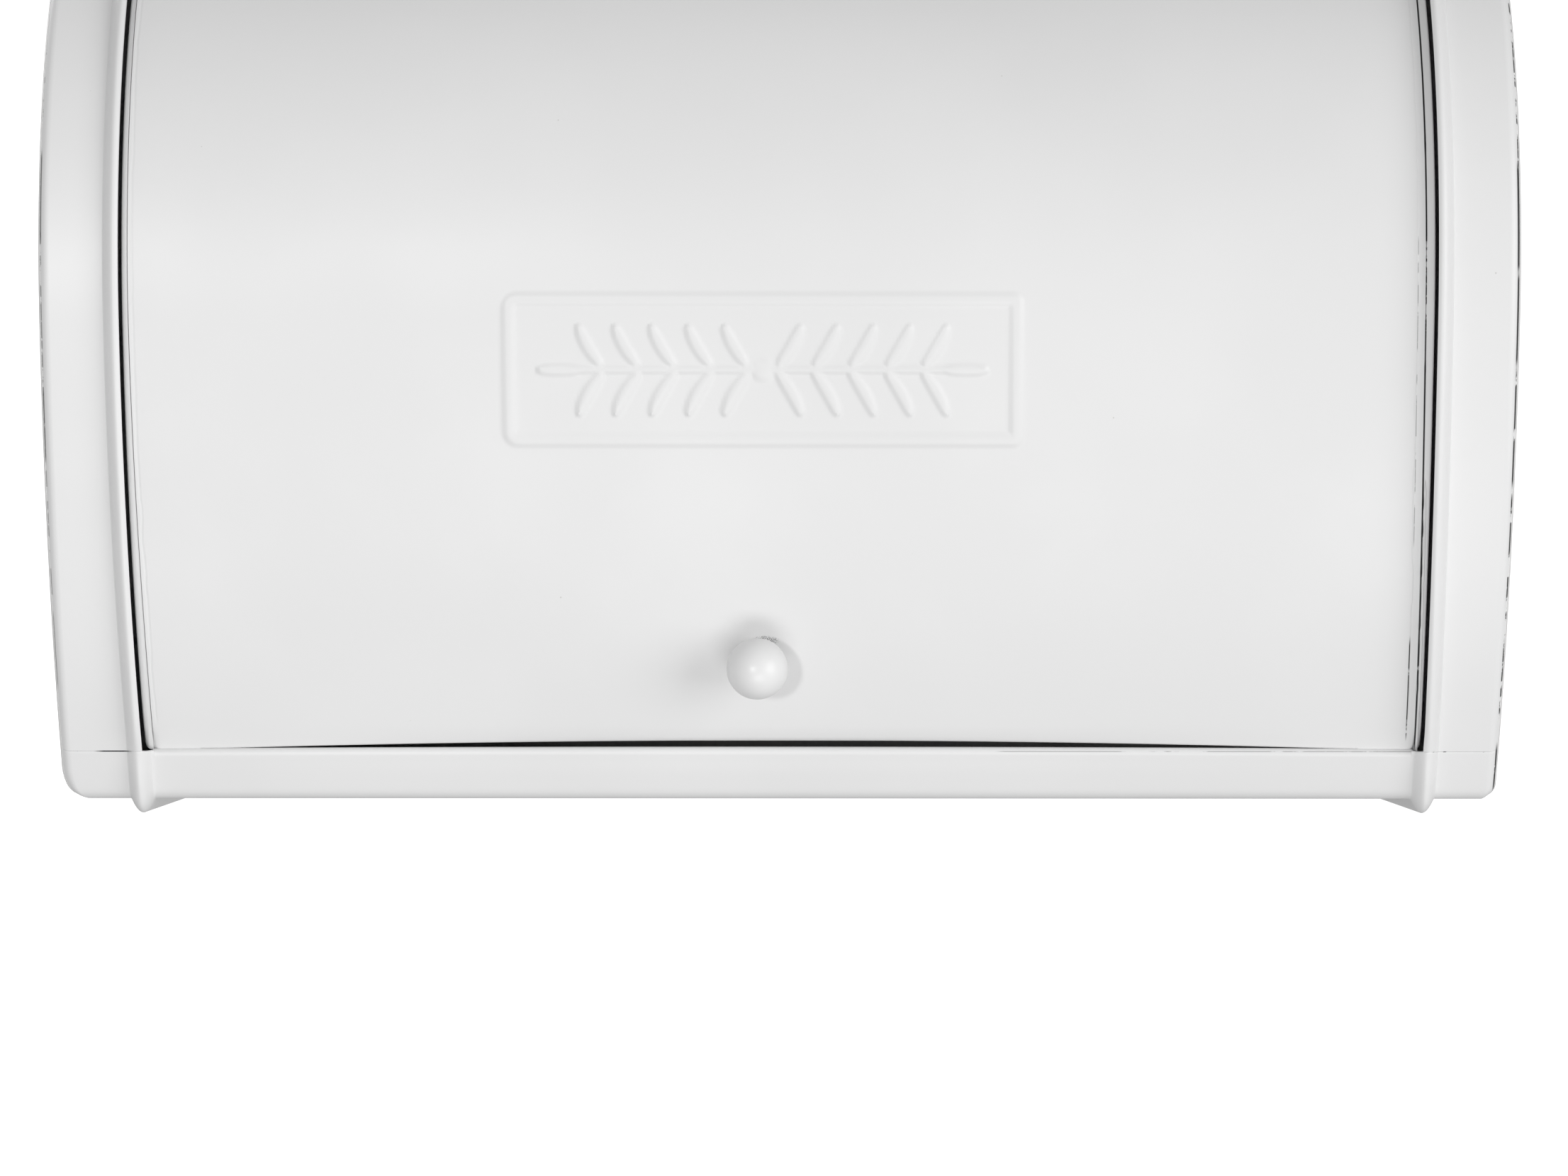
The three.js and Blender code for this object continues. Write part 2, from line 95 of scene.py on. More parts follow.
def share(name, description, default):
    return FloatProperty(name=name, description=description, default=default, min=0, max=1)


def number(name, description, default):
    return FloatProperty(name=name, description=description, default=default)


def watts(name, description, default):
    return FloatProperty(name=name, description=description, default=default, unit="POWER")


def whole(name, description, default):
    return IntProperty(name=name, description=description, default=default)


def colour(name, description, default):
    return FloatVectorProperty(
        name=name, description=description, default=default, subtype="COLOR", size=3, min=0, max=1)


class BreadBoxBody(bpy.types.PropertyGroup):
    """Sizes of the box: its side outline, its sheets, beads and side panels"""
    arch_radius: length("Arch radius", "Outside of the top, about the lid's pivot", 0.10382)
    pivot_above_bottom: length("Pivot height", "Pivot above the underside of the bottom sheet", 0.133)
    arch_below_pivot: angle("Arch below pivot", "How far the arch runs down the front", 10.3)
    front_radius: length("Front radius", "Flatter lower front", 0.327)
    front_corner: length("Front corner", "Radius at the bottom of the front", 0.005)
    back_corner: length("Back corner", "Radius at the bottom of the back", 0.012)
    least_corner: length("Least corner", "Smallest corner on an inner outline", 0.001)
    sheet: length("Sheet", "Thickness of the steel", 0.0008)
    seam_gap: length("Seam gap", "Between fixed pieces", 0.0003)
    bead_height: length("Bead height", "How far the beads stand proud", 0.0035)
    bead_width: length("Bead width", "Foot to foot across a bead", 0.0062)
    bead_crown: length("Bead crown", "From the middle of the box to a bead's crown", 0.1563)
    window_edge: length("Window edge", "From the middle of the box to the window's side", 0.1552)
    top_sheet_angle: angle("Top sheet edge", "Front edge of the fixed top, about the pivot", 100)
    lip_height: length("Lip height", "Base lip, up to the seam", 0.0118)
    lip_bow: length("Lip bow", "The front lip is higher in the middle", 0.0005)
    lip_roll: length("Lip roll", "Radius of the lip's rolled top edge", 0.0013)
    lip_lap: length("Lip lap", "The lip's upright ends stand this far past the beads", 0.0006)
    lip_hem: length("Lip hem", "The lip's edge, folded down inside", 0.006)
    bow_blend: length("Bow blend", "How far from an edge its bow fades out", 0.004)
    fold_radius: length("Fold radius", "Outside of a flat hem", 0.0009)
    seam_line: length("Seam line", "The joint between wrap and tray, nearly filled by the coat", 0.00006)
    lean: length("Lean", "The beads and the lid run this far right on their way down", 0.00105)
    lean_left: length("Lean start", "They start this far left of true", 0.0003)
    lean_top: length("Lean top", "Height at which the lean starts", 0.13)
    lean_foot: length("Lean foot", "Height at which the lean is full", 0.02)
    foot_left: length("Left foot", "Radius of the lower left corner, seen from the front", 0.005)
    foot_right: length("Right foot", "Radius of the lower right corner, seen from the front", 0.0026)
    foot_depth: length("Foot depth", "How far back the rounder feet run", 0.03)
    edge_round: length("Edge round", "The coat rounds every cut edge", 0.00025)
    hem_radius: length("Hem radius", "Roll at the outer edge of the sides", 0.003)
    hem_width: length("Hem width", "Part of the roll that covers the band's edge", 0.0005)
    hem_lap: length("Hem lap", "The band's edge runs on this far under the hem", 0.0003)
    hem_step: length("Hem step", "The band's edge drops this much to pass under the hem", 0.00015)
    rim_width: length("Rim width", "From the outside of the roll to the pan's wall", 0.005)
    panel_depth: length("Panel depth", "Depth of the pan drawn in each side", 0.015)
    panel_taper: length("Panel taper", "The pan's wall leans in this much", 0.002)
    panel_fillet: length("Panel fillet", "Between the pan's wall and its face", 0.004)
    vent_radius: length("Vent radius", "Holes in the back", 0.003)
    vent_pitch: length("Vent pitch", "Between vent holes", 0.016)
    vent_below_pivot: length("Vent drop", "Upper row of vent holes, below the pivot", 0.026)
    vent_columns: whole("Vent columns", "Holes in a row", 7)
    vent_rows: whole("Vent rows", "Rows of holes", 2)
    pivot_bore: length("Pivot bore", "Radius of the rivet's hole", 0.0028)
    pivot_radius: length("Rivet", "Radius of the rivet's shank", 0.0025)
    rivet_head_radius: length("Rivet head", "Radius of its outer head", 0.0055)
    rivet_head_height: length("Rivet head height", "Height of its outer head", 0.002)
    peen_radius: length("Formed head", "Radius of its inner head", 0.0044)
    peen_height: length("Formed head height", "Height of its inner head", 0.0014)
    stop_radius: length("Stop", "Radius at a stop's end", 0.003)
    stop_foot_radius: length("Stop foot", "Radius at a stop's foot", 0.0055)
    stop_inside_arch: length("Stop place", "From the arch in to a stop", 0.02)
    stop_past_wing: length("Stop reach", "How far a stop stands past the wing", 0.0004)


class BreadBoxLid(bpy.types.PropertyGroup):
    """Sizes of the lid, its wings, its raised frame and its knob"""
    inset: length("Inset", "Lid sheet inside the box's outline", 0.0016)
    top_angle: angle("Top angle", "Its top edge, tucked under the fixed top", 94)
    low_edge: length("Lower edge", "Ends of the lower edge, above the underside of the bottom", 0.01197)
    bow: length("Bow", "The lower edge is higher in the middle", 0.00208)
    half_width: length("Half width", "Half the lid sheet's width", 0.1531)
    sheet_left: length("Sheet offset", "The sheet sits this far left on its wings", 0.0004)
    edge_slant: length("Edge slant", "The sheet's side edges run this far right on their way down", 0.0007)
    fine_pitch: length("Fine pitch", "Mesh pitch over the raised frame", 0.00062)
    corner: length("Corner", "Radius of the two lower corners", 0.0018)
    hem: length("Hem", "Its lower edge, folded up inside", 0.008)
    wing_inset: length("Wing inset", "Wing flange inside the box's outline", 0.00245)
    wing_face: length("Wing face", "From the middle of the box to a wing's outside", 0.155)
    wing_corner: length("Wing corner", "Radius between a wing and its flange", 0.0005)
    wing_raise: length("Flange raise", "Past the sheet's edge the flange stands this much higher", 0.0006)
    wing_end: length("Flange end", "Radius of the flange's outer lower corner", 0.002)
    wing_flange: length("Wing flange", "Width of the flange under the lid sheet", 0.012)
    wing_hub: length("Wing hub", "Radius of a wing about the pivot", 0.015)
    frame_width: length("Frame width", "Raised frame, over its ribs", 0.124)
    frame_height: length("Frame height", "Raised frame, over its ribs", 0.037)
    frame_rib: length("Frame rib", "Width of the raised rib", 0.0039)
    frame_relief: length("Frame relief", "Height of the raised rib", 0.00045)
    frame_corner: length("Frame corner", "Corner radius of the raised frame", 0.0026)
    frame_corner_left: length("Frame corner, left", "Its two left corners are rounder", 0.004)
    frame_below_pivot: length("Frame drop", "Middle of the frame, below the pivot", 0.0299)
    frame_left: length("Frame offset", "Middle of the frame, left of the box's middle", 0.0038)
    ornament_span: length("Ornament span", "Length of the sprig in the frame", 0.107)
    ornament_rise: length("Ornament rise", "Height of the sprig in the frame", 0.023)
    ornament_stroke: length("Ornament stroke", "Width of each raised stroke", 0.0037)
    leaf_pairs: whole("Leaf pairs", "Pairs on each half of the sprig", 5)
    knob_radius: length("Knob radius", "Ball of the knob", 0.00735)
    knob_neck: length("Knob neck", "Radius of the knob's neck", 0.0027)
    knob_base: length("Knob base", "Radius of the knob's foot", 0.0031)
    knob_foot: length("Knob foot", "Height of the knob's foot", 0.0008)
    knob_stand_off: length("Knob stand-off", "Ball centre to lid", 0.00985)
    knob_below_pivot: length("Knob drop", "Knob's seat, below the pivot", 0.0967)
    knob_left: length("Knob offset", "Knob, left of the box's middle", 0.00535)
    screw_shank: length("Screw", "Radius of the knob's screw", 0.0015)
    screw_head: length("Screw head", "Radius of its head", 0.004)
    screw_head_height: length("Screw head height", "Height of its head", 0.0022)
    screw_slot: length("Screw slot", "Width of its slot", 0.0009)


class BreadBoxFinish(bpy.types.PropertyGroup):
    """Colours and wear of the surfaces"""
    coat: colour("Coat", "White powder coat", (0.79, 0.79, 0.79))
    coat_roughness: share("Coat roughness", "Satin sheen of the powder coat", 0.42)
    # This dark colour serves the seams' bare lines and also the painted shade grains above the knob.
    seam_and_shade_colour: colour("Seam", "Bare dark line where the coat missed a seam", (0.012, 0.012, 0.013))
    peel_depth: length("Peel depth", "Height of the coat's orange peel", 0.000018)
    speck_colour: colour("Specks", "Dust under the coat", (0.5, 0.49, 0.47))
    zinc: colour("Zinc", "Plated fasteners", (0.62, 0.62, 0.6))
    zinc_speck: colour("Zinc specks", "Dark specks in the plating", (0.2, 0.19, 0.17))
    nylon: colour("Nylon", "Pivot spacers", (0.84, 0.82, 0.76))


class BreadBoxStage(bpy.types.PropertyGroup):
    """Floor, lights and camera"""
    camera_distance: length("Camera distance", "From the pivot to the camera", 1.3475)
    camera_height: length("Camera height", "Above the floor", 0.055)
    camera_side: length("Camera side", "Right of the box's middle", 0.00105)
    camera_roll: angle("Camera roll", "Tilt of the picture", -0.03)
    focal_pixels: number("Focal length", "In pixels of the picture", 7451)
    picture_width: whole("Picture width", "In pixels", 2212)
    floor_colour: colour("Floor", "Plain pale floor", (0.95, 0.95, 0.95))
    floor_radius: length("Floor", "From its middle to its wall", 4.0)
    floor_bend: length("Floor bend", "Radius between floor and wall", 0.6)
    wall_height: length("Wall", "Height of the wall round the floor", 3.0)
    floor_glow: number("Floor glow", "The floor is lit until it is plain white", 0.8)
    key_power: watts("Key", "Soft light from the right", 163.0)
    fill_power: watts("Fill", "Smaller light from the front left", 16.0)
    low_power: watts("Low light", "What the floor sends up, as one wide lamp", 5.4)
    back_power: watts("Back light", "Wide light behind", 14.0)
    sky: number("Sky", "Even light from all round", 0.39)


def settings():
    scene = bpy.context.scene
    return scene.bread_box_body, scene.bread_box_lid, scene.bread_box_finish, scene.bread_box_stage


# Side outline

def reach(radius, angle_about_x):
    """A step of that length, at an angle about the X axis from straight back."""
    return Vector((0, radius * math.cos(angle_about_x), radius * math.sin(angle_about_x)))


def side(offset=0.0):
    """Centres, radii and angles of the box's side outline, grown by an offset."""
    body = settings()[0]
    arch_end = math.pi + body.arch_below_pivot
    front_centre = PIVOT + reach(body.front_radius - body.arch_radius, body.arch_below_pivot)
    bottom = PIVOT.z - body.pivot_above_bottom - offset
    front_radius = body.front_radius + offset
    front_corner = max(body.front_corner + offset, body.least_corner)
    back_corner = max(body.back_corner + offset, body.least_corner)
    drop = front_centre.z - bottom - front_corner
    front_end = math.pi + math.asin(drop / (front_radius - front_corner))
    back = PIVOT.y + body.arch_radius + offset
    return SimpleNamespace(
        arch=body.arch_radius + offset, arch_end=arch_end, bottom=bottom, back=back,
        front=front_radius, front_centre=front_centre, front_end=front_end,
        front_corner=front_corner, back_corner=back_corner,
        front_corner_centre=front_centre + reach(front_radius - front_corner, front_end),
        back_corner_centre=Vector((0, back - back_corner, bottom + back_corner)),
    )


def above_bottom(height):
    """The level at a height above the underside of the bottom sheet."""
    return PIVOT.z - settings()[0].pivot_above_bottom + height


def front_angle(outline, level):
    """Where the lower front's arc reaches a level."""
    return math.pi + math.asin((outline.front_centre.z - level) / outline.front)


# Mesh building

ARC_PITCH = 0.0035
CORNER_PITCH = 0.0008
FINE_PITCH = 0.001
SAME_PLACE = 1e-6
ON_PLANE = 1e-7


def turn(bm, row, centre, swing, radius, pitch=ARC_PITCH):
    """Sweeps a row of edges round the X axis through a point, and gives the last row."""
    steps = max(2, math.ceil(abs(swing) * radius / pitch))
    spun = bmesh.ops.spin(
        bm, geom=row, cent=centre, axis=X_AXIS, dvec=(0, 0, 0), angle=swing, steps=steps,
        use_merge=False, use_normal_flip=False, use_duplicate=False)
    return spun["geom_last"]


def run(bm, row, move, steps=1):
    """Sweeps a row of edges straight, and gives the last row."""
    spun = bmesh.ops.spin(
        bm, geom=row, cent=(0, 0, 0), axis=X_AXIS, dvec=Vector(move) / steps, angle=0, steps=steps,
        use_merge=False, use_normal_flip=False, use_duplicate=False)
    return spun["geom_last"]


def start_row(bm, stations, place, normal):
    """A row of edges across the box through [x, height] stations, each height along the normal."""
    verts = [bm.verts.new(place + normal * height + X_AXIS * x) for x, height in stations]
    edges = [bm.edges.new(pair) for pair in zip(verts, verts[1:])]
    return verts + edges


def part_of(row, keep):
    """The edges of a row whose two ends pass a test, with their vertices."""
    edges = [e for e in row if isinstance(e, bmesh.types.BMEdge) and all(keep(v.co) for v in e.verts)]
    verts = list({v for e in edges for v in e.verts})
    return verts + edges


def row_verts(row):
    return [v for v in row if isinstance(v, bmesh.types.BMVert)]


def mirrored(stations):
    return [(-x, high) for x, high in reversed(stations)] + list(stations)


def spread(low, high, count):
    return [low + (high - low) * step / count for step in range(count + 1)]


def tidy(bm):
    """Merges what lies together and turns every face outwards."""
    bmesh.ops.remove_doubles(bm, verts=bm.verts, dist=SAME_PLACE)
    bmesh.ops.recalc_face_normals(bm, faces=bm.faces)


def make_object(name, bm, material):
    """Turns a bmesh into a smooth object of one material."""
    for face in bm.faces:
        face.smooth = True
    mesh = bpy.data.meshes.new(name)
    bm.to_mesh(mesh)
    bm.free()
    mesh.materials.append(material)
    made = bpy.data.objects.new(name, mesh)
    bpy.context.scene.collection.objects.link(made)
    return made


def make_piece(name, bm, material, body, *nodes):
    """Turns a bmesh into a piece that rides on a body and stands for some nodes of the frame."""
    tidy(bm)
    face_outwards(bm)
    piece = make_object(name, bm, material)
    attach(piece, body)
    if nodes:
        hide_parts(*nodes)
    return piece


def make_sheet(name, bm, material, body, node):
    """A piece of coated sheet steel, with its thickness and rounded edges."""
    piece = make_piece(name, bm, material, body, node)
    thicken(piece, settings()[0].sheet)
    soften(piece, settings()[0].edge_round)
    return piece


def face_outwards(bm):
    """Turns an open sheet over if its foremost face looks inwards."""
    bm.faces.ensure_lookup_table()
    middle = Vector((0, 0, PIVOT.z))
    widest = max(bm.faces, key=lambda f: (f.calc_center_median() - middle).length)
    if widest.normal.dot(widest.calc_center_median() - middle) < 0:
        bmesh.ops.reverse_faces(bm, faces=bm.faces)


def thicken(piece, thickness):
    """Gives a sheet its thickness, inwards from its modelled face."""
    wall = piece.modifiers.new("Sheet", "SOLIDIFY")
    wall.thickness = thickness
    wall.offset = -1
    wall.use_quality_normals = True


def soften(piece, radius, segments=2, limit=50):
    """Rounds the cut edges, as the coat does, and keeps the broad faces' own shading."""
    edge = piece.modifiers.new("Edges", "BEVEL")
    edge.width = radius
    edge.segments = segments
    edge.limit_method = "ANGLE"
    edge.angle_limit = math.radians(limit)
    even_normals(piece)


def even_normals(piece, keep_sharp=False):
    shading = piece.modifiers.new("Shading", "WEIGHTED_NORMAL")
    shading.mode = "FACE_AREA"
    shading.keep_sharp = keep_sharp


def turned(profile, axis, seat, steps=64):
    """A solid turned about an axis through a seat, from (along, radius) points that start and end on it."""
    axis = Vector(axis).normalized()
    across = axis.orthogonal().normalized()
    bm = bmesh.new()
    verts = [bm.verts.new(seat + axis * along + across * radius) for along, radius in profile]
    edges = [bm.edges.new(pair) for pair in zip(verts, verts[1:])]
    bmesh.ops.spin(
        bm, geom=verts + edges, cent=seat, axis=axis, dvec=(0, 0, 0), angle=2 * math.pi, steps=steps,
        use_merge=True, use_normal_flip=False, use_duplicate=False)
    tidy(bm)
    return bm


# Cross-sections

def bead_share(across, crown_power=1.9, fillet=0.14, spread_to=0.93):
    """Height across a bead: a round crown with a small fillet at each foot."""
    across = abs(across)
    fillet_high = 1 - ((1 - fillet) / spread_to) ** crown_power
    if across < 1 - fillet:
        return 1 - (across / spread_to) ** crown_power
    return fillet_high * ((1 - across) / fillet) ** 2


def bead_stations(body, low, high, count):
    """The rounded rib of a bead, between two places from -1 at its inner foot to 1 at its outer foot."""
    half = body.bead_width / 2
    return [(body.bead_crown + half * across, body.bead_height * bead_share(across))
            for across in spread(low, high, count)]


def hem_roll(body, low, high, count):
    """The round edge of a side, between two places across, as [x, height] stations."""
    roll_start = HALF_WIDTH - body.hem_radius
    low_angle = math.acos((low - roll_start) / body.hem_radius)
    high_angle = math.acos((high - roll_start) / body.hem_radius)
    return [(roll_start + body.hem_radius * math.cos(a), body.hem_radius * (math.sin(a) - 1))
            for a in spread(low_angle, high_angle, count)]


def shell_stations(body):
    """One row across the box: plain sheet, beads and bands. The bands' edges tuck in under the hems."""
    window = (body.window_edge - body.bead_crown) / (body.bead_width / 2)
    foot = body.bead_crown - body.bead_width / 2
    plain = [(x, 0.0) for x in spread(0.01, foot, 8)[:-1]] + [(foot - body.lip_lap, 0.0)]
    bead = bead_stations(body, -1, window, 7) + bead_stations(body, window, 1, 18)[1:]
    band = [(x, 0.0) for x in spread(bead[-1][0], HALF_WIDTH - body.hem_radius, 4)[1:-1]]
    edge = hem_roll(body, HALF_WIDTH - body.hem_radius, HALF_WIDTH - body.hem_width + body.hem_lap, 8)
    step_start, step_end = edge[3][0], edge[5][0]
    tucked = [(x, height - body.hem_step * share_of(x, step_start, step_end)) for x, height in edge]
    return mirrored(plain + bead + band + tucked)


def lean_beads(bm):
    """Leans the beads, and all between them, to the right on their way down, and leaves the sides."""
    body = settings()[0]
    held = HALF_WIDTH - body.hem_radius
    for vert in bm.verts:
        down = 1 - share_of(vert.co.z, body.lean_foot, body.lean_top)
        near = 1 - soft_step(abs(vert.co.x), body.bead_crown + body.bead_width / 2, held)
        vert.co.x += (body.lean * down ** 2 - body.lean_left) * near


def front_verts(bm):
    return [vert for vert in bm.verts if vert.co.y <= 0]


def level_seam(bm):
    """Cuts the beads' ends level at the seam between wrap and tray, instead of square to the front."""
    body = settings()[0]
    outline = side()
    for vert in front_verts(bm):
        y, z = vert.co.y - outline.front_centre.y, vert.co.z - outline.front_centre.z
        from_centre = math.hypot(y, z)
        dip = max(from_centre - outline.front, 0) * -z / from_centre
        vert.co.z += dip * (1 - soft_step(abs(vert.co.z + dip - seam_height()), 0, 2 * body.bead_height))


FOOT_SHAPE = 1.6


def round_feet(bm, held=0.0):
    """Rounds the two lower front corners, as seen from the front, and moves nothing nearer than held."""
    body = settings()[0]
    outline = side()
    front = outline.front_corner_centre.y
    for vert in bm.verts:
        radius = body.foot_right if vert.co.x > 0 else body.foot_left
        low = 1 - max(vert.co.z - outline.bottom, 0) / (FOOT_SHAPE * radius)
        if low > 0 and vert.co.y < front + 2 * body.foot_depth:
            drawn_in = radius * (1 - math.sqrt(1 - low ** 2))
            near = soft_step(abs(vert.co.x), max(HALF_WIDTH - FOOT_SHAPE * radius, held), HALF_WIDTH)
            near *= 1 - soft_step(vert.co.y, front + body.foot_depth, front + 2 * body.foot_depth)
            vert.co.x -= math.copysign(drawn_in * near, vert.co.x)


def share_of(value, low, high):
    return min(max((value - low) / (high - low), 0.0), 1.0)


def soft_step(value, low, high):
    part = share_of(value, low, high)
    return part * part * (3 - 2 * part)


# Sheets of the box

def fold_in(bm, row, onward, inward, radius, depth):
    """Folds the edge of a sheet over to its inside, as a hem."""
    centre = row_verts(row)[0].co + Vector(inward) * radius
    centre.x = 0
    sense = math.copysign(1, X_AXIS.dot(Vector(onward).cross(Vector(inward))))
    row = turn(bm, row, centre, sense * math.pi, radius, CORNER_PITCH / 2)
    return run(bm, row, Vector(onward) * -depth, 2)


def seam_height():
    return above_bottom(settings()[0].lip_height)


def build_wrap():
    body = settings()[0]
    outline = side()
    bm = bmesh.new()
    foot = seam_height() + body.seam_line
    row = start_row(bm, shell_stations(body), Vector((0, outline.back, foot)), reach(1, 0))
    row = run(bm, row, (0, 0, PIVOT.z - foot), 30)
    top = turn(bm, row, PIVOT, body.top_sheet_angle, outline.arch)
    inner_foot = body.bead_crown - body.bead_width / 2
    onward, inward = reach(1, body.top_sheet_angle + RIGHT_ANGLE), -reach(1, body.top_sheet_angle)
    fold_in(bm, part_of(top, lambda co: abs(co.x) < inner_foot + SAME_PLACE), onward, inward,
            body.fold_radius, body.lip_hem)
    bands = part_of(top, lambda co: abs(co.x) > body.window_edge - SAME_PLACE)
    bands = turn(bm, bands, PIVOT, outline.arch_end - body.top_sheet_angle, outline.arch)
    low_end = front_angle(outline, above_bottom(body.lip_height + body.seam_line))
    turn(bm, bands, outline.front_centre, low_end - outline.arch_end, outline.front)
    level_seam(bm)
    lean_beads(bm)
    return bm


def pierce_vents(bm):
    body = settings()[0]
    back = side().back
    for row in range(body.vent_rows):
        for column in range(body.vent_columns):
            x = (column - (body.vent_columns - 1) / 2) * body.vent_pitch
            z = PIVOT.z - body.vent_below_pivot - row * body.vent_pitch
            pierce(bm, Vector((x, back, z)), body.vent_radius)


FLAT_WITHIN = 1e-5
AROUND_HOLE = 1.02


def pierce(bm, centre, radius, sides=24):
    """A round hole through a flat sheet that faces back: cut by planes on all sides of it, then cleared."""
    near = [f for f in bm.faces if all(abs(v.co.y - centre.y) < FLAT_WITHIN for v in f.verts)
            and face_near(f, centre, radius * AROUND_HOLE)]
    for step in range(sides):
        around = math.pi * 2 * step / sides
        normal = Vector((math.cos(around), 0, math.sin(around)))
        near = [f for f in near if f.is_valid]
        geom = near + list({e for f in near for e in f.edges}) + list({v for f in near for v in f.verts})
        cut = bmesh.ops.bisect_plane(
            bm, geom=geom, dist=ON_PLANE, plane_co=centre + normal * radius, plane_no=normal,
            use_snap_center=False, clear_outer=False, clear_inner=False)
        near = [g for g in cut["geom"] if isinstance(g, bmesh.types.BMFace)
                and (g.calc_center_median() - centre).dot(normal) < radius]
    inside = [f for f in near if f.is_valid and (f.calc_center_median() - centre).length < radius]
    bmesh.ops.delete(bm, geom=inside, context="FACES")


def face_near(face, centre, distance):
    xs = [v.co.x - centre.x for v in face.verts]
    zs = [v.co.z - centre.z for v in face.verts]
    return min(xs) < distance and max(xs) > -distance and min(zs) < distance and max(zs) > -distance


def build_tray():
    body = settings()[0]
    outline = side()
    bm = bmesh.new()
    below_roll = front_angle(outline, above_bottom(body.lip_height - body.lip_roll))
    first = start_row(bm, shell_stations(body), outline.front_centre + reach(outline.front, below_roll),
                      reach(1, below_roll))
    inner_foot = body.bead_crown - body.bead_width / 2
    bands = part_of(first, lambda co: abs(co.x) > inner_foot - body.lip_lap - SAME_PLACE)
    top = front_angle(outline, seam_height())
    turn(bm, bands, outline.front_centre, top - below_roll, outline.front, CORNER_PITCH)
    lip = part_of(first, lambda co: abs(co.x) < inner_foot + SAME_PLACE)
    onward, inward = -reach(1, below_roll + RIGHT_ANGLE), -reach(1, below_roll)
    fold_in(bm, lip, onward, inward, body.lip_roll, body.lip_hem)
    row = turn(bm, first, outline.front_centre, outline.front_end - below_roll, outline.front, FINE_PITCH)
    corner_swing = 3 * RIGHT_ANGLE - outline.front_end
    row = turn(bm, row, outline.front_corner_centre, corner_swing, outline.front_corner, CORNER_PITCH)
    bottom_length = outline.back_corner_centre.y - outline.front_corner_centre.y
    row = run(bm, row, (0, bottom_length, 0), 40)
    row = turn(bm, row, outline.back_corner_centre, RIGHT_ANGLE, outline.back_corner, CORNER_PITCH * 2)
    up = seam_height() - outline.back_corner_centre.z
    if up > 0:
        run(bm, row, (0, 0, up), 2)
    bow_edge(bm, inner_foot, body.lip_bow, seam_height() - body.lip_roll, body.bow_blend)
    level_seam(bm)
    lean_beads(bm)
    round_feet(bm)
    return bm


def bow_edge(bm, half_length, bow, level, blend, from_above=False):
    """Raises the middle of a front edge, fading out below it (or above it)."""
    for vert in front_verts(bm):
        across = share_of(abs(vert.co.x), 0, half_length)
        low, high = (level, level + blend) if from_above else (level - blend, level)
        weight = soft_step(vert.co.z, low, high)
        vert.co.z += bow * (1 - across ** 2) * (1 - weight if from_above else weight)


# Side panels

OUTLINE_STEPS = {"arch": 96, "front": 72, "front_corner": 10, "bottom": 30, "back_corner": 10, "back": 30}


def outline_loop(bm, x, offset):
    """The box's whole side outline at one place across, as a closed loop of edges."""
    outline = side(offset)
    before = set(bm.edges)
    vert = bm.verts.new((x, outline.back, PIVOT.z))
    first = vert
    stages = (
        (PIVOT, outline.arch_end, "arch"),
        (outline.front_centre, outline.front_end - outline.arch_end, "front"),
        (outline.front_corner_centre, 3 * RIGHT_ANGLE - outline.front_end, "front_corner"),
        (None, (0, outline.back_corner_centre.y - outline.front_corner_centre.y, 0), "bottom"),
        (outline.back_corner_centre, RIGHT_ANGLE, "back_corner"),
        (None, (0, 0, PIVOT.z - outline.back_corner_centre.z), "back"),
    )
    row = [vert]
    for centre, amount, name in stages:
        steps = OUTLINE_STEPS[name]
        move = Vector((0, 0, 0)) if centre else Vector(amount) / steps
        swept = bmesh.ops.spin(
            bm, geom=row, cent=centre or PIVOT, axis=X_AXIS, dvec=move, angle=amount if centre else 0,
            steps=steps, use_merge=False, use_normal_flip=False, use_duplicate=False)
        row = swept["geom_last"]
    bmesh.ops.weld_verts(bm, targetmap={row_verts(row)[0]: first})
    return [e for e in bm.edges if e not in before]


def pan_stations(body):
    """From the hem's edge, round the roll and the rim, down the pan's wall to its face."""
    hem = hem_roll(body, HALF_WIDTH - body.hem_width, HALF_WIDTH, 8)
    wall_top = HALF_WIDTH - body.hem_radius / 3
    rim_drop = body.rim_width - body.hem_radius
    rim = [(wall_top + (HALF_WIDTH - wall_top) * math.cos(a), -body.hem_radius - rim_drop * math.sin(a))
           for a in spread(0, RIGHT_ANGLE, 6)]
    face = HALF_WIDTH - body.panel_depth
    fillet_x = face + body.panel_fillet
    lean = body.panel_taper / (wall_top - face)
    fillet_offset = -body.rim_width - lean * (wall_top - fillet_x)
    fillet = [(fillet_x - body.panel_fillet * math.sin(a),
               fillet_offset - body.panel_fillet * (1 - math.cos(a))) for a in spread(0, RIGHT_ANGLE, 8)]
    return hem + rim[1:] + fillet


def build_side_panel(sign):
    """The drawn pan of one side, from its hem in to its face, which has the rivet's bore."""
    body = settings()[0]
    bm = bmesh.new()
    last = None
    for x, offset in pan_stations(body):
        loop = outline_loop(bm, sign * x, offset)
        if last:
            bmesh.ops.bridge_loops(bm, edges=last + loop, use_pairs=False, use_cyclic=False, use_merge=False)
        last = loop
    face = sign * (HALF_WIDTH - body.panel_depth)
    across = Matrix.Translation((face, PIVOT.y, PIVOT.z)) @ Matrix.Rotation(RIGHT_ANGLE, 4, "Y")
    bore = bmesh.ops.create_circle(bm, cap_ends=False, radius=body.pivot_bore, segments=32, matrix=across)
    rim = list({e for v in bore["verts"] for e in v.link_edges})
    bmesh.ops.triangle_fill(bm, edges=last + rim, use_beauty=True, use_dissolve=False, normal=X_AXIS * sign)
    round_feet(bm, HALF_WIDTH - body.panel_depth + body.panel_fillet)
    return bm


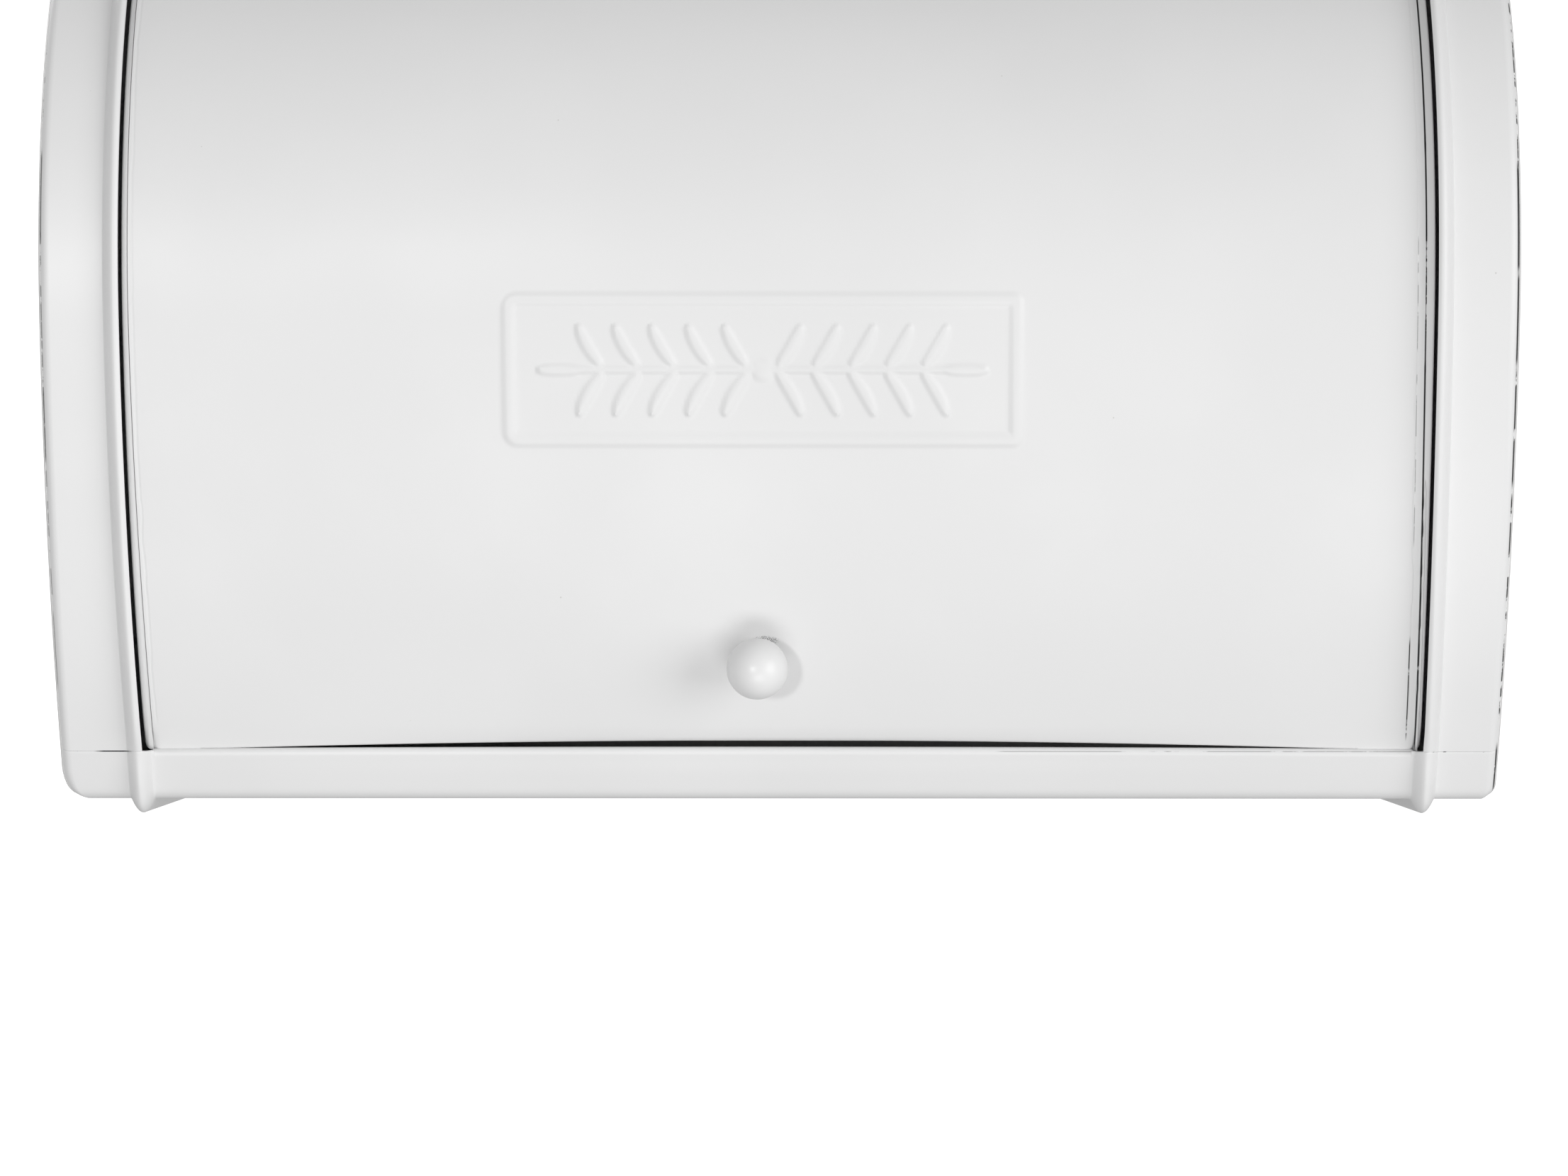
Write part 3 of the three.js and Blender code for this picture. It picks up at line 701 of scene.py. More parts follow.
def build_lid_stop(sign, stop_angle):
    """A pressed stop inside a side panel, which the edge of a wing comes to rest on."""
    body, lid, _, _ = settings()
    seat = PIVOT + reach(body.arch_radius - body.stop_inside_arch, stop_angle)
    seat.x = sign * (HALF_WIDTH - body.panel_depth - body.sheet)
    past = seat.x * sign - lid.wing_face + body.sheet + body.stop_past_wing
    top, foot, round_off = body.stop_radius, body.stop_foot_radius, body.sheet
    profile = [(0, foot), (round_off / 2, foot - round_off / 3)]
    profile += [(past - round_off, top + (foot - top) * round_off / past)]
    profile += [(past - round_off + round_off * math.sin(a), top - round_off + round_off * math.cos(a))
                for a in spread(0, RIGHT_ANGLE, 4)]
    profile.append((past, 0))
    return turned([(0, 0)] + profile, (-sign, 0, 0), seat, 40)


# Lid

def lid_curve(lid, offset):
    return side(-lid.inset + offset)


def lid_level(lid):
    return above_bottom(lid.low_edge)


def lid_stations(lid):
    """A row across the lid: fine over the raised frame, and close together at its two corners."""
    left = -lid.half_width - lid.sheet_left
    right = lid.half_width - lid.sheet_left
    frame_left = -lid.frame_left - lid.frame_width / 2 - lid.frame_rib
    frame_right = frame_left + lid.frame_width + 2 * lid.frame_rib
    corner = [lid.corner * (1 - math.cos(a)) for a in spread(0, RIGHT_ANGLE, 6)]
    row = [left + step for step in corner]
    row += spread(left + lid.corner, frame_left, 16)[1:-1]
    row += spread(frame_left, frame_right, math.ceil((frame_right - frame_left) / lid.fine_pitch))
    row += spread(frame_right, right - lid.corner, 16)[1:]
    row += [right - step for step in reversed(corner[:-1])]
    return [(x, 0.0) for x in row]


def bump(across, flatness=1.8):
    """A soft raised stroke: one in its middle and nothing at its edges."""
    return (1 + math.cos(math.pi * abs(across) ** flatness)) / 2 if abs(across) < 1 else 0.0


def rib_height(u, v, lid):
    """The raised frame's rib, from a place measured from the frame's middle."""
    half = lid.frame_rib / 2
    corner = (lid.frame_corner if u > 0 else lid.frame_corner_left) - half
    side_u = abs(u) - (lid.frame_width / 2 - half - corner)
    side_v = abs(v) - (lid.frame_height / 2 - half - corner)
    beyond = math.hypot(max(side_u, 0), max(side_v, 0)) + min(max(side_u, side_v), 0) - corner
    return bump(beyond / half)


LEAF_LEAN = math.radians(60)
# As shares of half the sprig: its end leaf, its first pair, and where the stem fades out
END_LEAF = 0.2
FIRST_PAIR = 0.13
STEM_FADE = (0.8, 0.9)


def sprig_leaves(lid):
    """The leaves of the sprig as [base, direction, length, half width, bend]."""
    half_span, rise = lid.ornament_span / 2, lid.ornament_rise / 2
    half_width = lid.ornament_stroke / 2
    first, last = FIRST_PAIR * half_span, half_span - END_LEAF * half_span
    leaf = (rise - half_width * 0.9) / math.sin(LEAF_LEAN)
    leaves = []
    for end in (1, -1):
        for place in spread(first, last - leaf * 0.12, lid.leaf_pairs - 1):
            for up in (1, -1):
                base = (end * (place - leaf * 0.3), up * half_width * 0.45)
                way = (end * math.cos(LEAF_LEAN), up * math.sin(LEAF_LEAN))
                leaves.append((base, way, leaf, half_width, end * up))
        leaves.append(((end * last, 0.0), (end, 0.0), END_LEAF * half_span, half_width, 0))
    return leaves


def leaf_height(u, v, leaf, bend_share=0.045):
    (base_u, base_v), (dir_u, dir_v), reach_out, half_width, bend = leaf
    along = (u - base_u) * dir_u + (v - base_v) * dir_v
    if not 0 < along < reach_out:
        return 0.0
    across = (v - base_v) * dir_u - (u - base_u) * dir_v
    part = 4 * along * (reach_out - along) / reach_out ** 2
    across += bend * bend_share * reach_out * part
    return bump(across / (half_width * part ** 0.35))


def sprig_height(u, v, lid, leaves):
    """A sprig of leaves along a thin stem, with a round boss in its middle."""
    half_span = lid.ornament_span / 2
    boss = bump(math.hypot(u, v) / (lid.ornament_stroke * 0.95))
    stem = 0.8 * bump(v / (lid.ornament_stroke * 0.3))
    stem *= 1 - soft_step(abs(u), half_span * STEM_FADE[0], half_span * STEM_FADE[1])
    return 1.2 * max([boss, stem] + [leaf_height(u, v, leaf) for leaf in leaves])


def emboss(bm, lid, outline):
    """Presses the frame and its ornament out of the lid sheet, square to its surface."""
    leaves = sprig_leaves(lid)
    middle_z = PIVOT.z - lid.frame_below_pivot
    half_w, half_h = lid.frame_width / 2, lid.frame_height / 2
    for vert in front_verts(bm):
        u, v = vert.co.x + lid.frame_left, vert.co.z - middle_z
        if abs(u) > half_w or abs(v) > half_h:
            continue
        height = max(rib_height(u, v, lid), sprig_height(u, v, lid, leaves))
        centre = PIVOT if vert.co.z > outline.arch_end_height else outline.front_centre
        outward = Vector((0, vert.co.y - centre.y, vert.co.z - centre.z)).normalized()
        vert.co += outward * lid.frame_relief * height


LID_TOP_PITCH = 0.0045
LID_FOOT_PITCH = 0.003


def build_lid_panel():
    body, lid, _, _ = settings()
    outline = lid_curve(lid, 0)
    outline.arch_end_height = PIVOT.z + outline.arch * math.sin(outline.arch_end)
    bm = bmesh.new()
    top = PIVOT + reach(outline.arch, lid.top_angle)
    row = start_row(bm, lid_stations(lid), top, reach(1, lid.top_angle))
    frame_top = PIVOT.z - lid.frame_below_pivot + lid.frame_height / 2 + lid.frame_rib
    frame_low = PIVOT.z - lid.frame_below_pivot - lid.frame_height / 2 - lid.frame_rib
    fine_start = math.pi + math.asin((PIVOT.z - frame_top) / outline.arch)
    fine_end = front_angle(outline, frame_low)
    level = lid_level(lid)
    low_end = front_angle(outline, level + body.fold_radius)
    row = turn(bm, row, PIVOT, fine_start - lid.top_angle, outline.arch, LID_TOP_PITCH)
    row = turn(bm, row, PIVOT, outline.arch_end - fine_start, outline.arch, lid.fine_pitch)
    row = turn(bm, row, outline.front_centre, fine_end - outline.arch_end, outline.front, lid.fine_pitch)
    row = turn(bm, row, outline.front_centre, low_end - fine_end, outline.front, LID_FOOT_PITCH)
    onward, inward = reach(1, low_end + RIGHT_ANGLE), -reach(1, low_end)
    hem_edge = lid.wing_face - lid.wing_flange - body.seam_gap
    fold_in(bm, part_of(row, lambda co: abs(co.x) < hem_edge), onward, inward, body.fold_radius, lid.hem)
    run(bm, part_of(row, lambda co: abs(co.x) > hem_edge - lid.wing_flange / 4), onward * body.fold_radius)
    emboss(bm, lid, outline)
    bow_edge(bm, 0.9 * lid.half_width, lid.bow, level, body.bow_blend, from_above=True)
    round_ends(bm, lid.sheet_left, lid.half_width, lid.corner, level)
    slant(bm, lid, lambda x: soft_step(x, lid.half_width - lid.wing_flange, lid.half_width - lid.corner))
    lean_beads(bm)
    return bm


def slant(bm, lid, near):
    """Lets what is near the sheet's side edges run a little to the right on its way down."""
    body = settings()[0]
    for vert in bm.verts:
        low = 1 - soft_step(vert.co.z, body.lean_foot, PIVOT.z)
        vert.co.x += lid.edge_slant * low * near(abs(vert.co.x))


def round_ends(bm, left, half_width, radius, level):
    """Draws the ends of a lower edge up in a quarter round."""
    for vert in front_verts(bm):
        past = min(abs(vert.co.x + left) - (half_width - radius), radius)
        if past > 0:
            rise = radius - math.sqrt(radius ** 2 - past ** 2)
            vert.co.z += rise * (1 - soft_step(vert.co.z, level, level + 3 * radius))


def wing_arc(bm, geom, outline, top_angle, low_end):
    geom = turn(bm, geom, PIVOT, outline.arch_end - top_angle, outline.arch)
    return turn(bm, geom, outline.front_centre, low_end - outline.arch_end, outline.front)


def wing_foot(lid):
    """A wing's outline, the level of its lower end and the angle there."""
    outline = side(-lid.wing_inset)
    level = lid_level(lid) + lid.corner / 4
    return outline, level, front_angle(outline, level)


def build_wing(sign):
    """A pressed side plate: a flange under the lid sheet, a round corner and a plate down to the pivot."""
    body, lid, _, _ = settings()
    outline, level, low_end = wing_foot(lid)
    bm = bmesh.new()
    radius = lid.wing_corner
    past_sheet = lid.half_width - sign * lid.sheet_left + body.seam_gap / 3
    raised = spread(past_sheet + body.seam_gap / 3, lid.wing_face - radius, 5)[:-1]
    stations = [(lid.wing_face - lid.wing_flange, 0.0), (past_sheet, 0.0)]
    stations += [(x, lid.wing_raise) for x in raised]
    stations += [(lid.wing_face - radius + radius * math.sin(a), lid.wing_raise + radius * (math.cos(a) - 1))
                 for a in spread(0, RIGHT_ANGLE, 8)]
    stations = [(sign * x, height) for x, height in stations]
    row = start_row(bm, stations, PIVOT + reach(outline.arch, lid.top_angle), reach(1, lid.top_angle))
    wing_arc(bm, row, outline, lid.top_angle, low_end)
    slant(bm, lid, lambda x: abs(x - past_sheet) < body.seam_gap / 2)
    before = set(bm.edges)
    inner = side(-lid.wing_inset + lid.wing_raise - radius)
    plate_top = bm.verts.new(PIVOT + reach(inner.arch, lid.top_angle) + X_AXIS * sign * lid.wing_face)
    plate_low = row_verts(wing_arc(bm, [plate_top], inner, lid.top_angle, low_end))[0]
    low_angle = math.atan2(plate_low.co.z - PIVOT.z, plate_low.co.y) + 2 * math.pi
    hub = bm.verts.new(PIVOT + reach(lid.wing_hub, low_angle) + X_AXIS * sign * lid.wing_face)
    near_place = plate_low.co + (hub.co - plate_low.co).normalized() * 2 * lid.wing_end
    round_ends(bm, 0, lid.wing_face, lid.wing_end, level)
    near_low = bm.verts.new(near_place)
    bm.edges.new((plate_low, near_low))
    bm.edges.new((near_low, hub))
    hub_end = turn(bm, [hub], PIVOT, lid.top_angle + 2 * math.pi - low_angle, lid.wing_hub, FINE_PITCH)
    bm.edges.new((row_verts(hub_end)[0], plate_top))
    border = [e for e in bm.edges if e not in before]
    bmesh.ops.contextual_create(bm, geom=border)
    lean_beads(bm)
    return bm


# Knob and fasteners

def knob_seat():
    """The knob's place on the lid and the direction that it points in."""
    _, lid, _, _ = settings()
    outline = lid_curve(lid, 0)
    drop = outline.front_centre.z - PIVOT.z + lid.knob_below_pivot
    lean = math.asin(drop / outline.front)
    seat = outline.front_centre + reach(outline.front, math.pi + lean)
    seat.x = -lid.knob_left
    return seat, reach(1, math.pi + lean)


def build_knob():
    _, lid, _, _ = settings()
    seat, axis = knob_seat()
    edge = lid.knob_foot / 3
    neck_angle = math.asin(lid.knob_neck / lid.knob_radius)
    ball_start = lid.knob_stand_off - lid.knob_radius * math.cos(neck_angle)
    flare_start = lid.knob_foot
    profile = [(0, 0), (0, lid.knob_base - edge / 2), (edge / 3, lid.knob_base)]
    profile += [(lid.knob_foot - edge + edge * math.sin(a), lid.knob_base - edge + edge * math.cos(a))
                for a in spread(0, RIGHT_ANGLE, 4)]
    waist = (lid.knob_base - lid.knob_neck) * 0.8
    profile += [(flare_start + waist * math.sin(a), lid.knob_neck + waist * (1 - math.cos(RIGHT_ANGLE - a)))
                for a in spread(0, RIGHT_ANGLE, 5)][1:]
    profile.append((ball_start, lid.knob_neck))
    profile += [(lid.knob_stand_off - lid.knob_radius * math.cos(a), lid.knob_radius * math.sin(a))
                for a in spread(neck_angle, math.pi, 28)][1:-1]
    profile.append((lid.knob_stand_off + lid.knob_radius, 0))
    return turned(profile, axis, seat)


def dome(radius, height, rim, count=8):
    """A domed head over a thin rim, from the rim up to the axis, as (along, radius) points."""
    rise = height - rim
    return [(rim + rise * math.sin(a), radius * math.cos(a)) for a in spread(0, RIGHT_ANGLE, count)]


# Height of the straight rim under each domed head, and how far the screw goes into the ball
PEEN_RIM = 0.0003
RIVET_RIM = 0.0004
SCREW_RIM = 0.0009
SCREW_REACH = 0.8
SLOT_SHARE = 0.55


def build_pivot_rivet(sign):
    """The pin that the lid turns on: a domed head outside and a formed head inside."""
    body = settings()[0]
    low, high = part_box("pivot_rivet_right")
    inner, head = low.x + body.peen_height, high.x - body.rivet_head_height
    seat = Vector((sign * inner, PIVOT.y, PIVOT.z))
    shank = head - inner
    formed = [(-along, radius)
              for along, radius in reversed(dome(body.peen_radius, body.peen_height, PEEN_RIM))]
    outer = [(shank + along, radius)
             for along, radius in dome(body.rivet_head_radius, body.rivet_head_height, RIVET_RIM)]
    profile = formed + [(0, body.peen_radius), (0, body.pivot_radius), (shank, body.pivot_radius),
                        (shank, body.rivet_head_radius)] + outer
    profile[0] = (profile[0][0], 0)
    profile[-1] = (profile[-1][0], 0)
    return turned(profile, (sign, 0, 0), seat, 48)


def build_knob_screw():
    """A slotted screw that holds the knob from inside the lid."""
    body, lid, _, _ = settings()
    seat, axis = knob_seat()
    under_head = 2 * body.sheet + 2 * body.seam_gap
    end = lid.knob_stand_off * SCREW_REACH
    head = [(-under_head - along, radius)
            for along, radius in reversed(dome(lid.screw_head, lid.screw_head_height, SCREW_RIM))]
    head[0] = (head[0][0], 0)
    shank = [(-under_head, lid.screw_head), (-under_head, lid.screw_shank), (end, lid.screw_shank), (end, 0)]
    bm = turned(head + shank, axis, seat, 48)
    cut_slot(bm, seat - axis * under_head, axis, lid.screw_slot / 2, lid.screw_head_height * SLOT_SHARE)
    return bm


def cut_slot(bm, under_head, axis, half_width, depth):
    """Cuts a screw's head along the slot's two walls and sinks what lies between them."""
    for sign in (1, -1):
        geom = list(bm.verts) + list(bm.edges) + list(bm.faces)
        bmesh.ops.bisect_plane(
            bm, geom=geom, dist=ON_PLANE, plane_co=under_head + X_AXIS * sign * half_width, plane_no=X_AXIS,
            use_snap_center=False, clear_outer=False, clear_inner=False)
    floor = [f for f in bm.faces if abs(f.calc_center_median().x - under_head.x) < half_width
             and f.normal.dot(-axis) > 0.2 and (f.calc_center_median() - under_head).dot(-axis) > 0.0002]
    sunk = bmesh.ops.extrude_face_region(bm, geom=floor)
    bmesh.ops.translate(bm, verts=row_verts(sunk["geom"]), vec=axis * depth)
    bmesh.ops.delete(bm, geom=floor, context="FACES")


# Materials

def feed(tree, socket, value):
    """Links another node's output to a socket, or sets the socket's own value."""
    if isinstance(value, bpy.types.NodeSocket):
        tree.links.new(value, socket)
    else:
        socket.default_value = value


def add_node(tree, kind, values=None, **options):
    """A shader node with its options and what feeds its sockets."""
    made = tree.nodes.new(kind)
    for name, value in options.items():
        setattr(made, name, value)
    for name, value in (values or {}).items():
        feed(tree, made.inputs[name], value)
    return made


def maths(tree, operation, *values):
    return add_node(tree, "ShaderNodeMath", dict(enumerate(values)), operation=operation).outputs[0]


def product(tree, one, other):
    return maths(tree, "MULTIPLY", one, other)


def minus(tree, one, other):
    return maths(tree, "SUBTRACT", one, other)


def noise(tree, vector, scale, detail):
    return add_node(tree, "ShaderNodeTexNoise", {
        "Vector": vector, "Scale": scale, "Detail": detail}).outputs["Fac"]


def ramp(tree, value, low, high, to_low=0.0, to_high=1.0, curve="SMOOTHSTEP"):
    return add_node(tree, "ShaderNodeMapRange", {
        "Value": value, "From Min": low, "From Max": high, "To Min": to_low, "To Max": to_high},
        interpolation_type=curve).outputs["Result"]


def new_group(name, inputs, outputs):
    """A shader node group with its inputs as (name, kind, default) and its outputs as (name, kind)."""
    group = bpy.data.node_groups.new(name, "ShaderNodeTree")
    for label, kind, default in inputs:
        socket = group.interface.new_socket(label, in_out="INPUT", socket_type=kind)
        if default is not None:
            socket.default_value = default
    for label, kind in outputs:
        group.interface.new_socket(label, in_out="OUTPUT", socket_type=kind)
    return group, group.nodes.new("NodeGroupInput").outputs, group.nodes.new("NodeGroupOutput").inputs


def group_named(name, build):
    return bpy.data.node_groups.get(name) or build(name)


def powder_grain(name):
    """Orange peel, fine grain, tone and dust specks of a sprayed and baked coat."""
    group, given, out = new_group(
        name,
        [("Vector", "NodeSocketVector", None), ("Peel Scale", "NodeSocketFloat", 420.0),
         ("Grain Scale", "NodeSocketFloat", 2600.0), ("Speck Scale", "NodeSocketFloat", 190.0),
         ("Speck Share", "NodeSocketFloat", 0.06)],
        [("Height", "NodeSocketFloat"), ("Tone", "NodeSocketFloat"), ("Specks", "NodeSocketFloat")])
    place = given["Vector"]
    peel = product(group, noise(group, place, given["Peel Scale"], 1.5), 0.8)
    grain = product(group, noise(group, place, given["Grain Scale"], 1.0), 0.2)
    dots = add_node(group, "ShaderNodeTexVoronoi", {"Vector": place, "Scale": given["Speck Scale"]}).outputs
    picked = add_node(group, "ShaderNodeSeparateColor", {"Color": dots["Color"]})
    rare = maths(group, "LESS_THAN", picked.outputs["Red"], given["Speck Share"])
    feed(group, out["Height"], maths(group, "ADD", peel, grain))
    feed(group, out["Tone"], noise(group, place, 14.0, 3.0))
    feed(group, out["Specks"], product(group, rare, ramp(group, dots["Distance"], 0.05, 0.02)))
    return group


def broken_line(name):
    """A thin line along a seam that shows only in places, as where the coat has bridged the joint."""
    group, given, out = new_group(
        name,
        [("Vector", "NodeSocketVector", None), ("Distance", "NodeSocketFloat", 0.0),
         ("Width", "NodeSocketFloat", 0.0002), ("Shown", "NodeSocketFloat", 0.5),
         ("Dash Scale", "NodeSocketFloat", 160.0)],
        [("Mask", "NodeSocketFloat")])
    dashes = add_node(group, "ShaderNodeTexNoise", {
        "Vector": given["Vector"], "Scale": given["Dash Scale"], "Detail": 4.0, "Roughness": 0.6})
    level = minus(group, 0.72, product(group, given["Shown"], 0.44))
    shown = ramp(group, minus(group, dashes.outputs["Fac"], level), -0.02, 0.05)
    away = maths(group, "DIVIDE", maths(group, "ABSOLUTE", given["Distance"]), given["Width"])
    feed(group, out["Mask"], product(group, ramp(group, away, 1.0, 0.4), shown))
    return group


def use_group(tree, name, build, values):
    return add_node(tree, "ShaderNodeGroup", values, node_tree=group_named(name, build)).outputs


def new_material(name):
    material = bpy.data.materials.new(name)
    material.use_nodes = True
    tree = material.node_tree
    tree.nodes.clear()
    shader = tree.nodes.new("ShaderNodeBsdfPrincipled")
    output = tree.nodes.new("ShaderNodeOutputMaterial")
    tree.links.new(shader.outputs["BSDF"], output.inputs["Surface"])
    return material, tree, shader


def finish_surface(tree, shader, colour_, roughness, height, distance=1.0):
    """Feeds the shader its colour, its roughness and the relief that a height gives."""
    relief = add_node(tree, "ShaderNodeBump", {"Height": height, "Distance": distance, "Strength": 1.0})
    feed(tree, shader.inputs["Base Color"], colour_)
    feed(tree, shader.inputs["Roughness"], roughness)
    feed(tree, shader.inputs["Normal"], relief.outputs["Normal"])


def mix_colour(tree, mask, one, other):
    return add_node(tree, "ShaderNodeMix", {0: mask, 6: one, 7: other}, data_type="RGBA").outputs[2]


def upright(tree, place):
    """X with the lean of the beads and the slant of the lid sheet's edges taken off."""
    body, lid, _, _ = settings()
    down = ramp(tree, place["Z"], body.lean_foot, body.lean_top, 1.0, 0.0, "LINEAR")
    leans = minus(tree, product(tree, product(tree, down, down), body.lean), body.lean_left)
    slants = ramp(tree, place["Z"], body.lean_foot, PIVOT.z, lid.edge_slant, 0.0)
    return minus(tree, place["X"], maths(tree, "ADD", leans, slants))


def within(tree, value, low, high, fade=0.003):
    """One between two values, fading to nothing past them."""
    return product(tree, ramp(tree, value, low - fade, low), ramp(tree, value, high, high + fade, 1.0, 0.0))


def seam_mask(tree, coords, axes, seam):
    """A broken line: (axis across, place, width, shown, dash scale, darkness, axis along, low, high)."""
    across, at, width, shown, dash_scale, darkness, along, low, high = seam
    line = use_group(tree, "broken_line", broken_line, {
        "Vector": coords, "Distance": minus(tree, axes[across], at), "Width": width,
        "Shown": shown, "Dash Scale": dash_scale})
    return product(tree, product(tree, line["Mask"], within(tree, axes[along], low, high)), darkness)


def shade_grains_mask(tree, coords, axes, patch):
    """Painted shade: dark grains in a patch, which stand in for shade: (x, z, half width, half height)."""
    x, z, half_width, half_height = patch
    across = maths(tree, "DIVIDE", minus(tree, axes["X"], x), half_width)
    up = maths(tree, "DIVIDE", minus(tree, axes["Z"], z), half_height)
    away = maths(tree, "ADD", product(tree, across, across), product(tree, up, up))
    grains = ramp(tree, noise(tree, coords, 5000.0, 1.0), 0.46, 0.6)
    return product(tree, product(tree, grains, ramp(tree, away, 1.0, 0.2)), 0.85)


def crease_depth(tree, coords, axes, crease):
    """A fine groove: (place across, width, depth, low, high)."""
    at, width, depth, low, high = crease
    wander = product(tree, minus(tree, noise(tree, coords, 90.0, 2.0), 0.5), 0.0012)
    distance = maths(tree, "ADD", minus(tree, axes["UPRIGHT"], at), wander)
    away = maths(tree, "DIVIDE", maths(tree, "ABSOLUTE", distance), width)
    groove = product(tree, ramp(tree, away, 1.0, 0.0), within(tree, axes["Z"], low, high))
    return product(tree, groove, depth)


def coat_material(name, seams=(), creases=(), shade_grains=(), rougher=0.0, painted_light_gain=1.0):
    """White satin powder coat, with broken dark lines at its seams, fine grooves, dark grains of painted
    shade, and a paler tone of painted light where one is asked for.
    """
    finish = settings()[2]
    material, tree, shader = new_material(name)
    coords = add_node(tree, "ShaderNodeTexCoord").outputs["Object"]
    place = add_node(tree, "ShaderNodeSeparateXYZ", {"Vector": coords}).outputs
    axes = {"X": place["X"], "Z": place["Z"]}
    if creases or any(seam[0] == "UPRIGHT" for seam in seams):
        axes["UPRIGHT"] = upright(tree, place)
    coat = use_group(tree, "powder_grain", powder_grain, {"Vector": coords})
    # The gain here makes the coat paler as painted light. Only the knob's copy of the coat uses it.
    light, dark = [(*[c * painted_light_gain * tone for c in finish.coat], 1) for tone in (1.0, 0.975)]
    colour_ = mix_colour(tree, ramp(tree, coat["Tone"], 0.35, 0.65), light, dark)
    colour_ = mix_colour(tree, product(tree, coat["Specks"], 0.7), colour_, (*finish.speck_colour, 1))
    masks = [seam_mask(tree, coords, axes, seam) for seam in seams]
    masks += [shade_grains_mask(tree, coords, axes, patch) for patch in shade_grains]
    # The seam lines are dark joints. The grains are painted shade. Both are mixed in with the same dark
    # colour.
    for mask in masks:
        colour_ = mix_colour(tree, mask, colour_, (*finish.seam_and_shade_colour, 1))
    even = finish.coat_roughness + rougher
    roughness = ramp(tree, coat["Tone"], 0.3, 0.7, even - 0.03, even + 0.03)
    height = product(tree, coat["Height"], finish.peel_depth)
    for crease in creases:
        height = minus(tree, height, crease_depth(tree, coords, axes, crease))
    finish_surface(tree, shader, colour_, roughness, height)
    return material


def zinc_material(name="zinc_steel"):
    """Zinc plating with a dull bloom and dark specks."""
    finish = settings()[2]
    material, tree, shader = new_material(name)
    coords = add_node(tree, "ShaderNodeTexCoord").outputs["Object"]
    coat = use_group(tree, "powder_grain", powder_grain, {
        "Vector": coords, "Peel Scale": 900.0, "Grain Scale": 5000.0, "Speck Scale": 700.0,
        "Speck Share": 0.12})
    dull = (*[c * 0.82 for c in finish.zinc], 1)
    colour_ = mix_colour(tree, ramp(tree, coat["Tone"], 0.4, 0.62), (*finish.zinc, 1), dull)
    colour_ = mix_colour(tree, product(tree, coat["Specks"], 0.5), colour_, (*finish.zinc_speck, 1))
    shader.inputs["Metallic"].default_value = 1.0
    roughness = ramp(tree, coat["Height"], 0.3, 0.7, 0.26, 0.42)
    finish_surface(tree, shader, colour_, roughness, coat["Height"], 0.00002)
    return material


def nylon_material(name="natural_nylon"):
    """Natural nylon, a little warmer in places."""
    finish = settings()[2]
    material, tree, shader = new_material(name)
    coords = add_node(tree, "ShaderNodeTexCoord").outputs["Object"]
    coat = use_group(tree, "powder_grain", powder_grain, {
        "Vector": coords, "Peel Scale": 700.0, "Grain Scale": 3500.0, "Speck Share": 0.02})
    warm = (*[c * f for c, f in zip(finish.nylon, (0.97, 0.95, 0.9))], 1)
    colour_ = mix_colour(tree, ramp(tree, coat["Tone"], 0.35, 0.65), (*finish.nylon, 1), warm)
    roughness = ramp(tree, coat["Height"], 0.3, 0.7, 0.42, 0.55)
    finish_surface(tree, shader, colour_, roughness, coat["Height"], 0.00003)
    return material


def material_named(name, build, *values):
    return bpy.data.materials.get(name) or build(name, *values)


# How far inside the side panels' hems and outside the lid sheet the dark lines lie
HEM_LINE_IN = 0.00018
SHEET_LINE_OUT = 0.00012


def body_seams():
    """The joints that show on the bands: under the side panels' hems, and between wrap and tray."""
    body = settings()[0]
    hem = HALF_WIDTH - body.hem_width - HEM_LINE_IN
    outer = body.bead_crown + body.bead_width / 2
    inner = body.bead_crown - body.bead_width / 2
    seam = seam_height()
    right = [("X", hem, width, shown, dashes, 1.0, "Z", low, high)
             for width, shown, dashes, low, high in (
                 (0.00024, 0.45, 300.0, 0.155, 0.24), (0.0006, 1.0, 60.0, 0.1314, 0.1534),
                 (0.0005, 0.95, 90.0, 0.1095, 0.1275), (0.00044, 0.75, 160.0, 0.081, 0.105),
                 (0.00036, 0.6, 220.0, 0.0535, 0.0757), (0.00026, 0.4, 330.0, 0.0413, 0.0535),
                 (0.00034, 0.6, 240.0, 0.0258, 0.0405), (0.00044, 0.85, 240.0, 0.0066, 0.0152))]
    left = [("X", -hem, width, shown, dashes, darkness, "Z", low, high)
            for width, shown, dashes, darkness, low, high in (
                (0.00018, 0.35, 240.0, 0.4, 0.156, 0.24), (0.00034, 0.95, 120.0, 0.75, 0.1384, 0.156),
                (0.0003, 0.6, 300.0, 0.6, 0.1, 0.1384), (0.0003, 0.75, 200.0, 0.8, 0.0866, 0.1),
                (0.00024, 0.5, 240.0, 0.5, 0.0532, 0.085), (0.00024, 0.8, 120.0, 0.5, 0.0327, 0.0473))]
    band = [
        ("Z", seam, 0.00022, 1.0, 160.0, 1.0, "X", -outer - 0.0045, -outer),
        ("Z", seam, 0.00015, 0.35, 260.0, 0.5, "X", -HALF_WIDTH, -outer - 0.006),
        ("Z", seam, 0.00018, 0.25, 400.0, 0.8, "X", outer, HALF_WIDTH),
        ("Z", seam, 0.00014, 0.7, 110.0, 0.45, "X", 0.055, inner),
    ]
    return (*right, *left, *band)


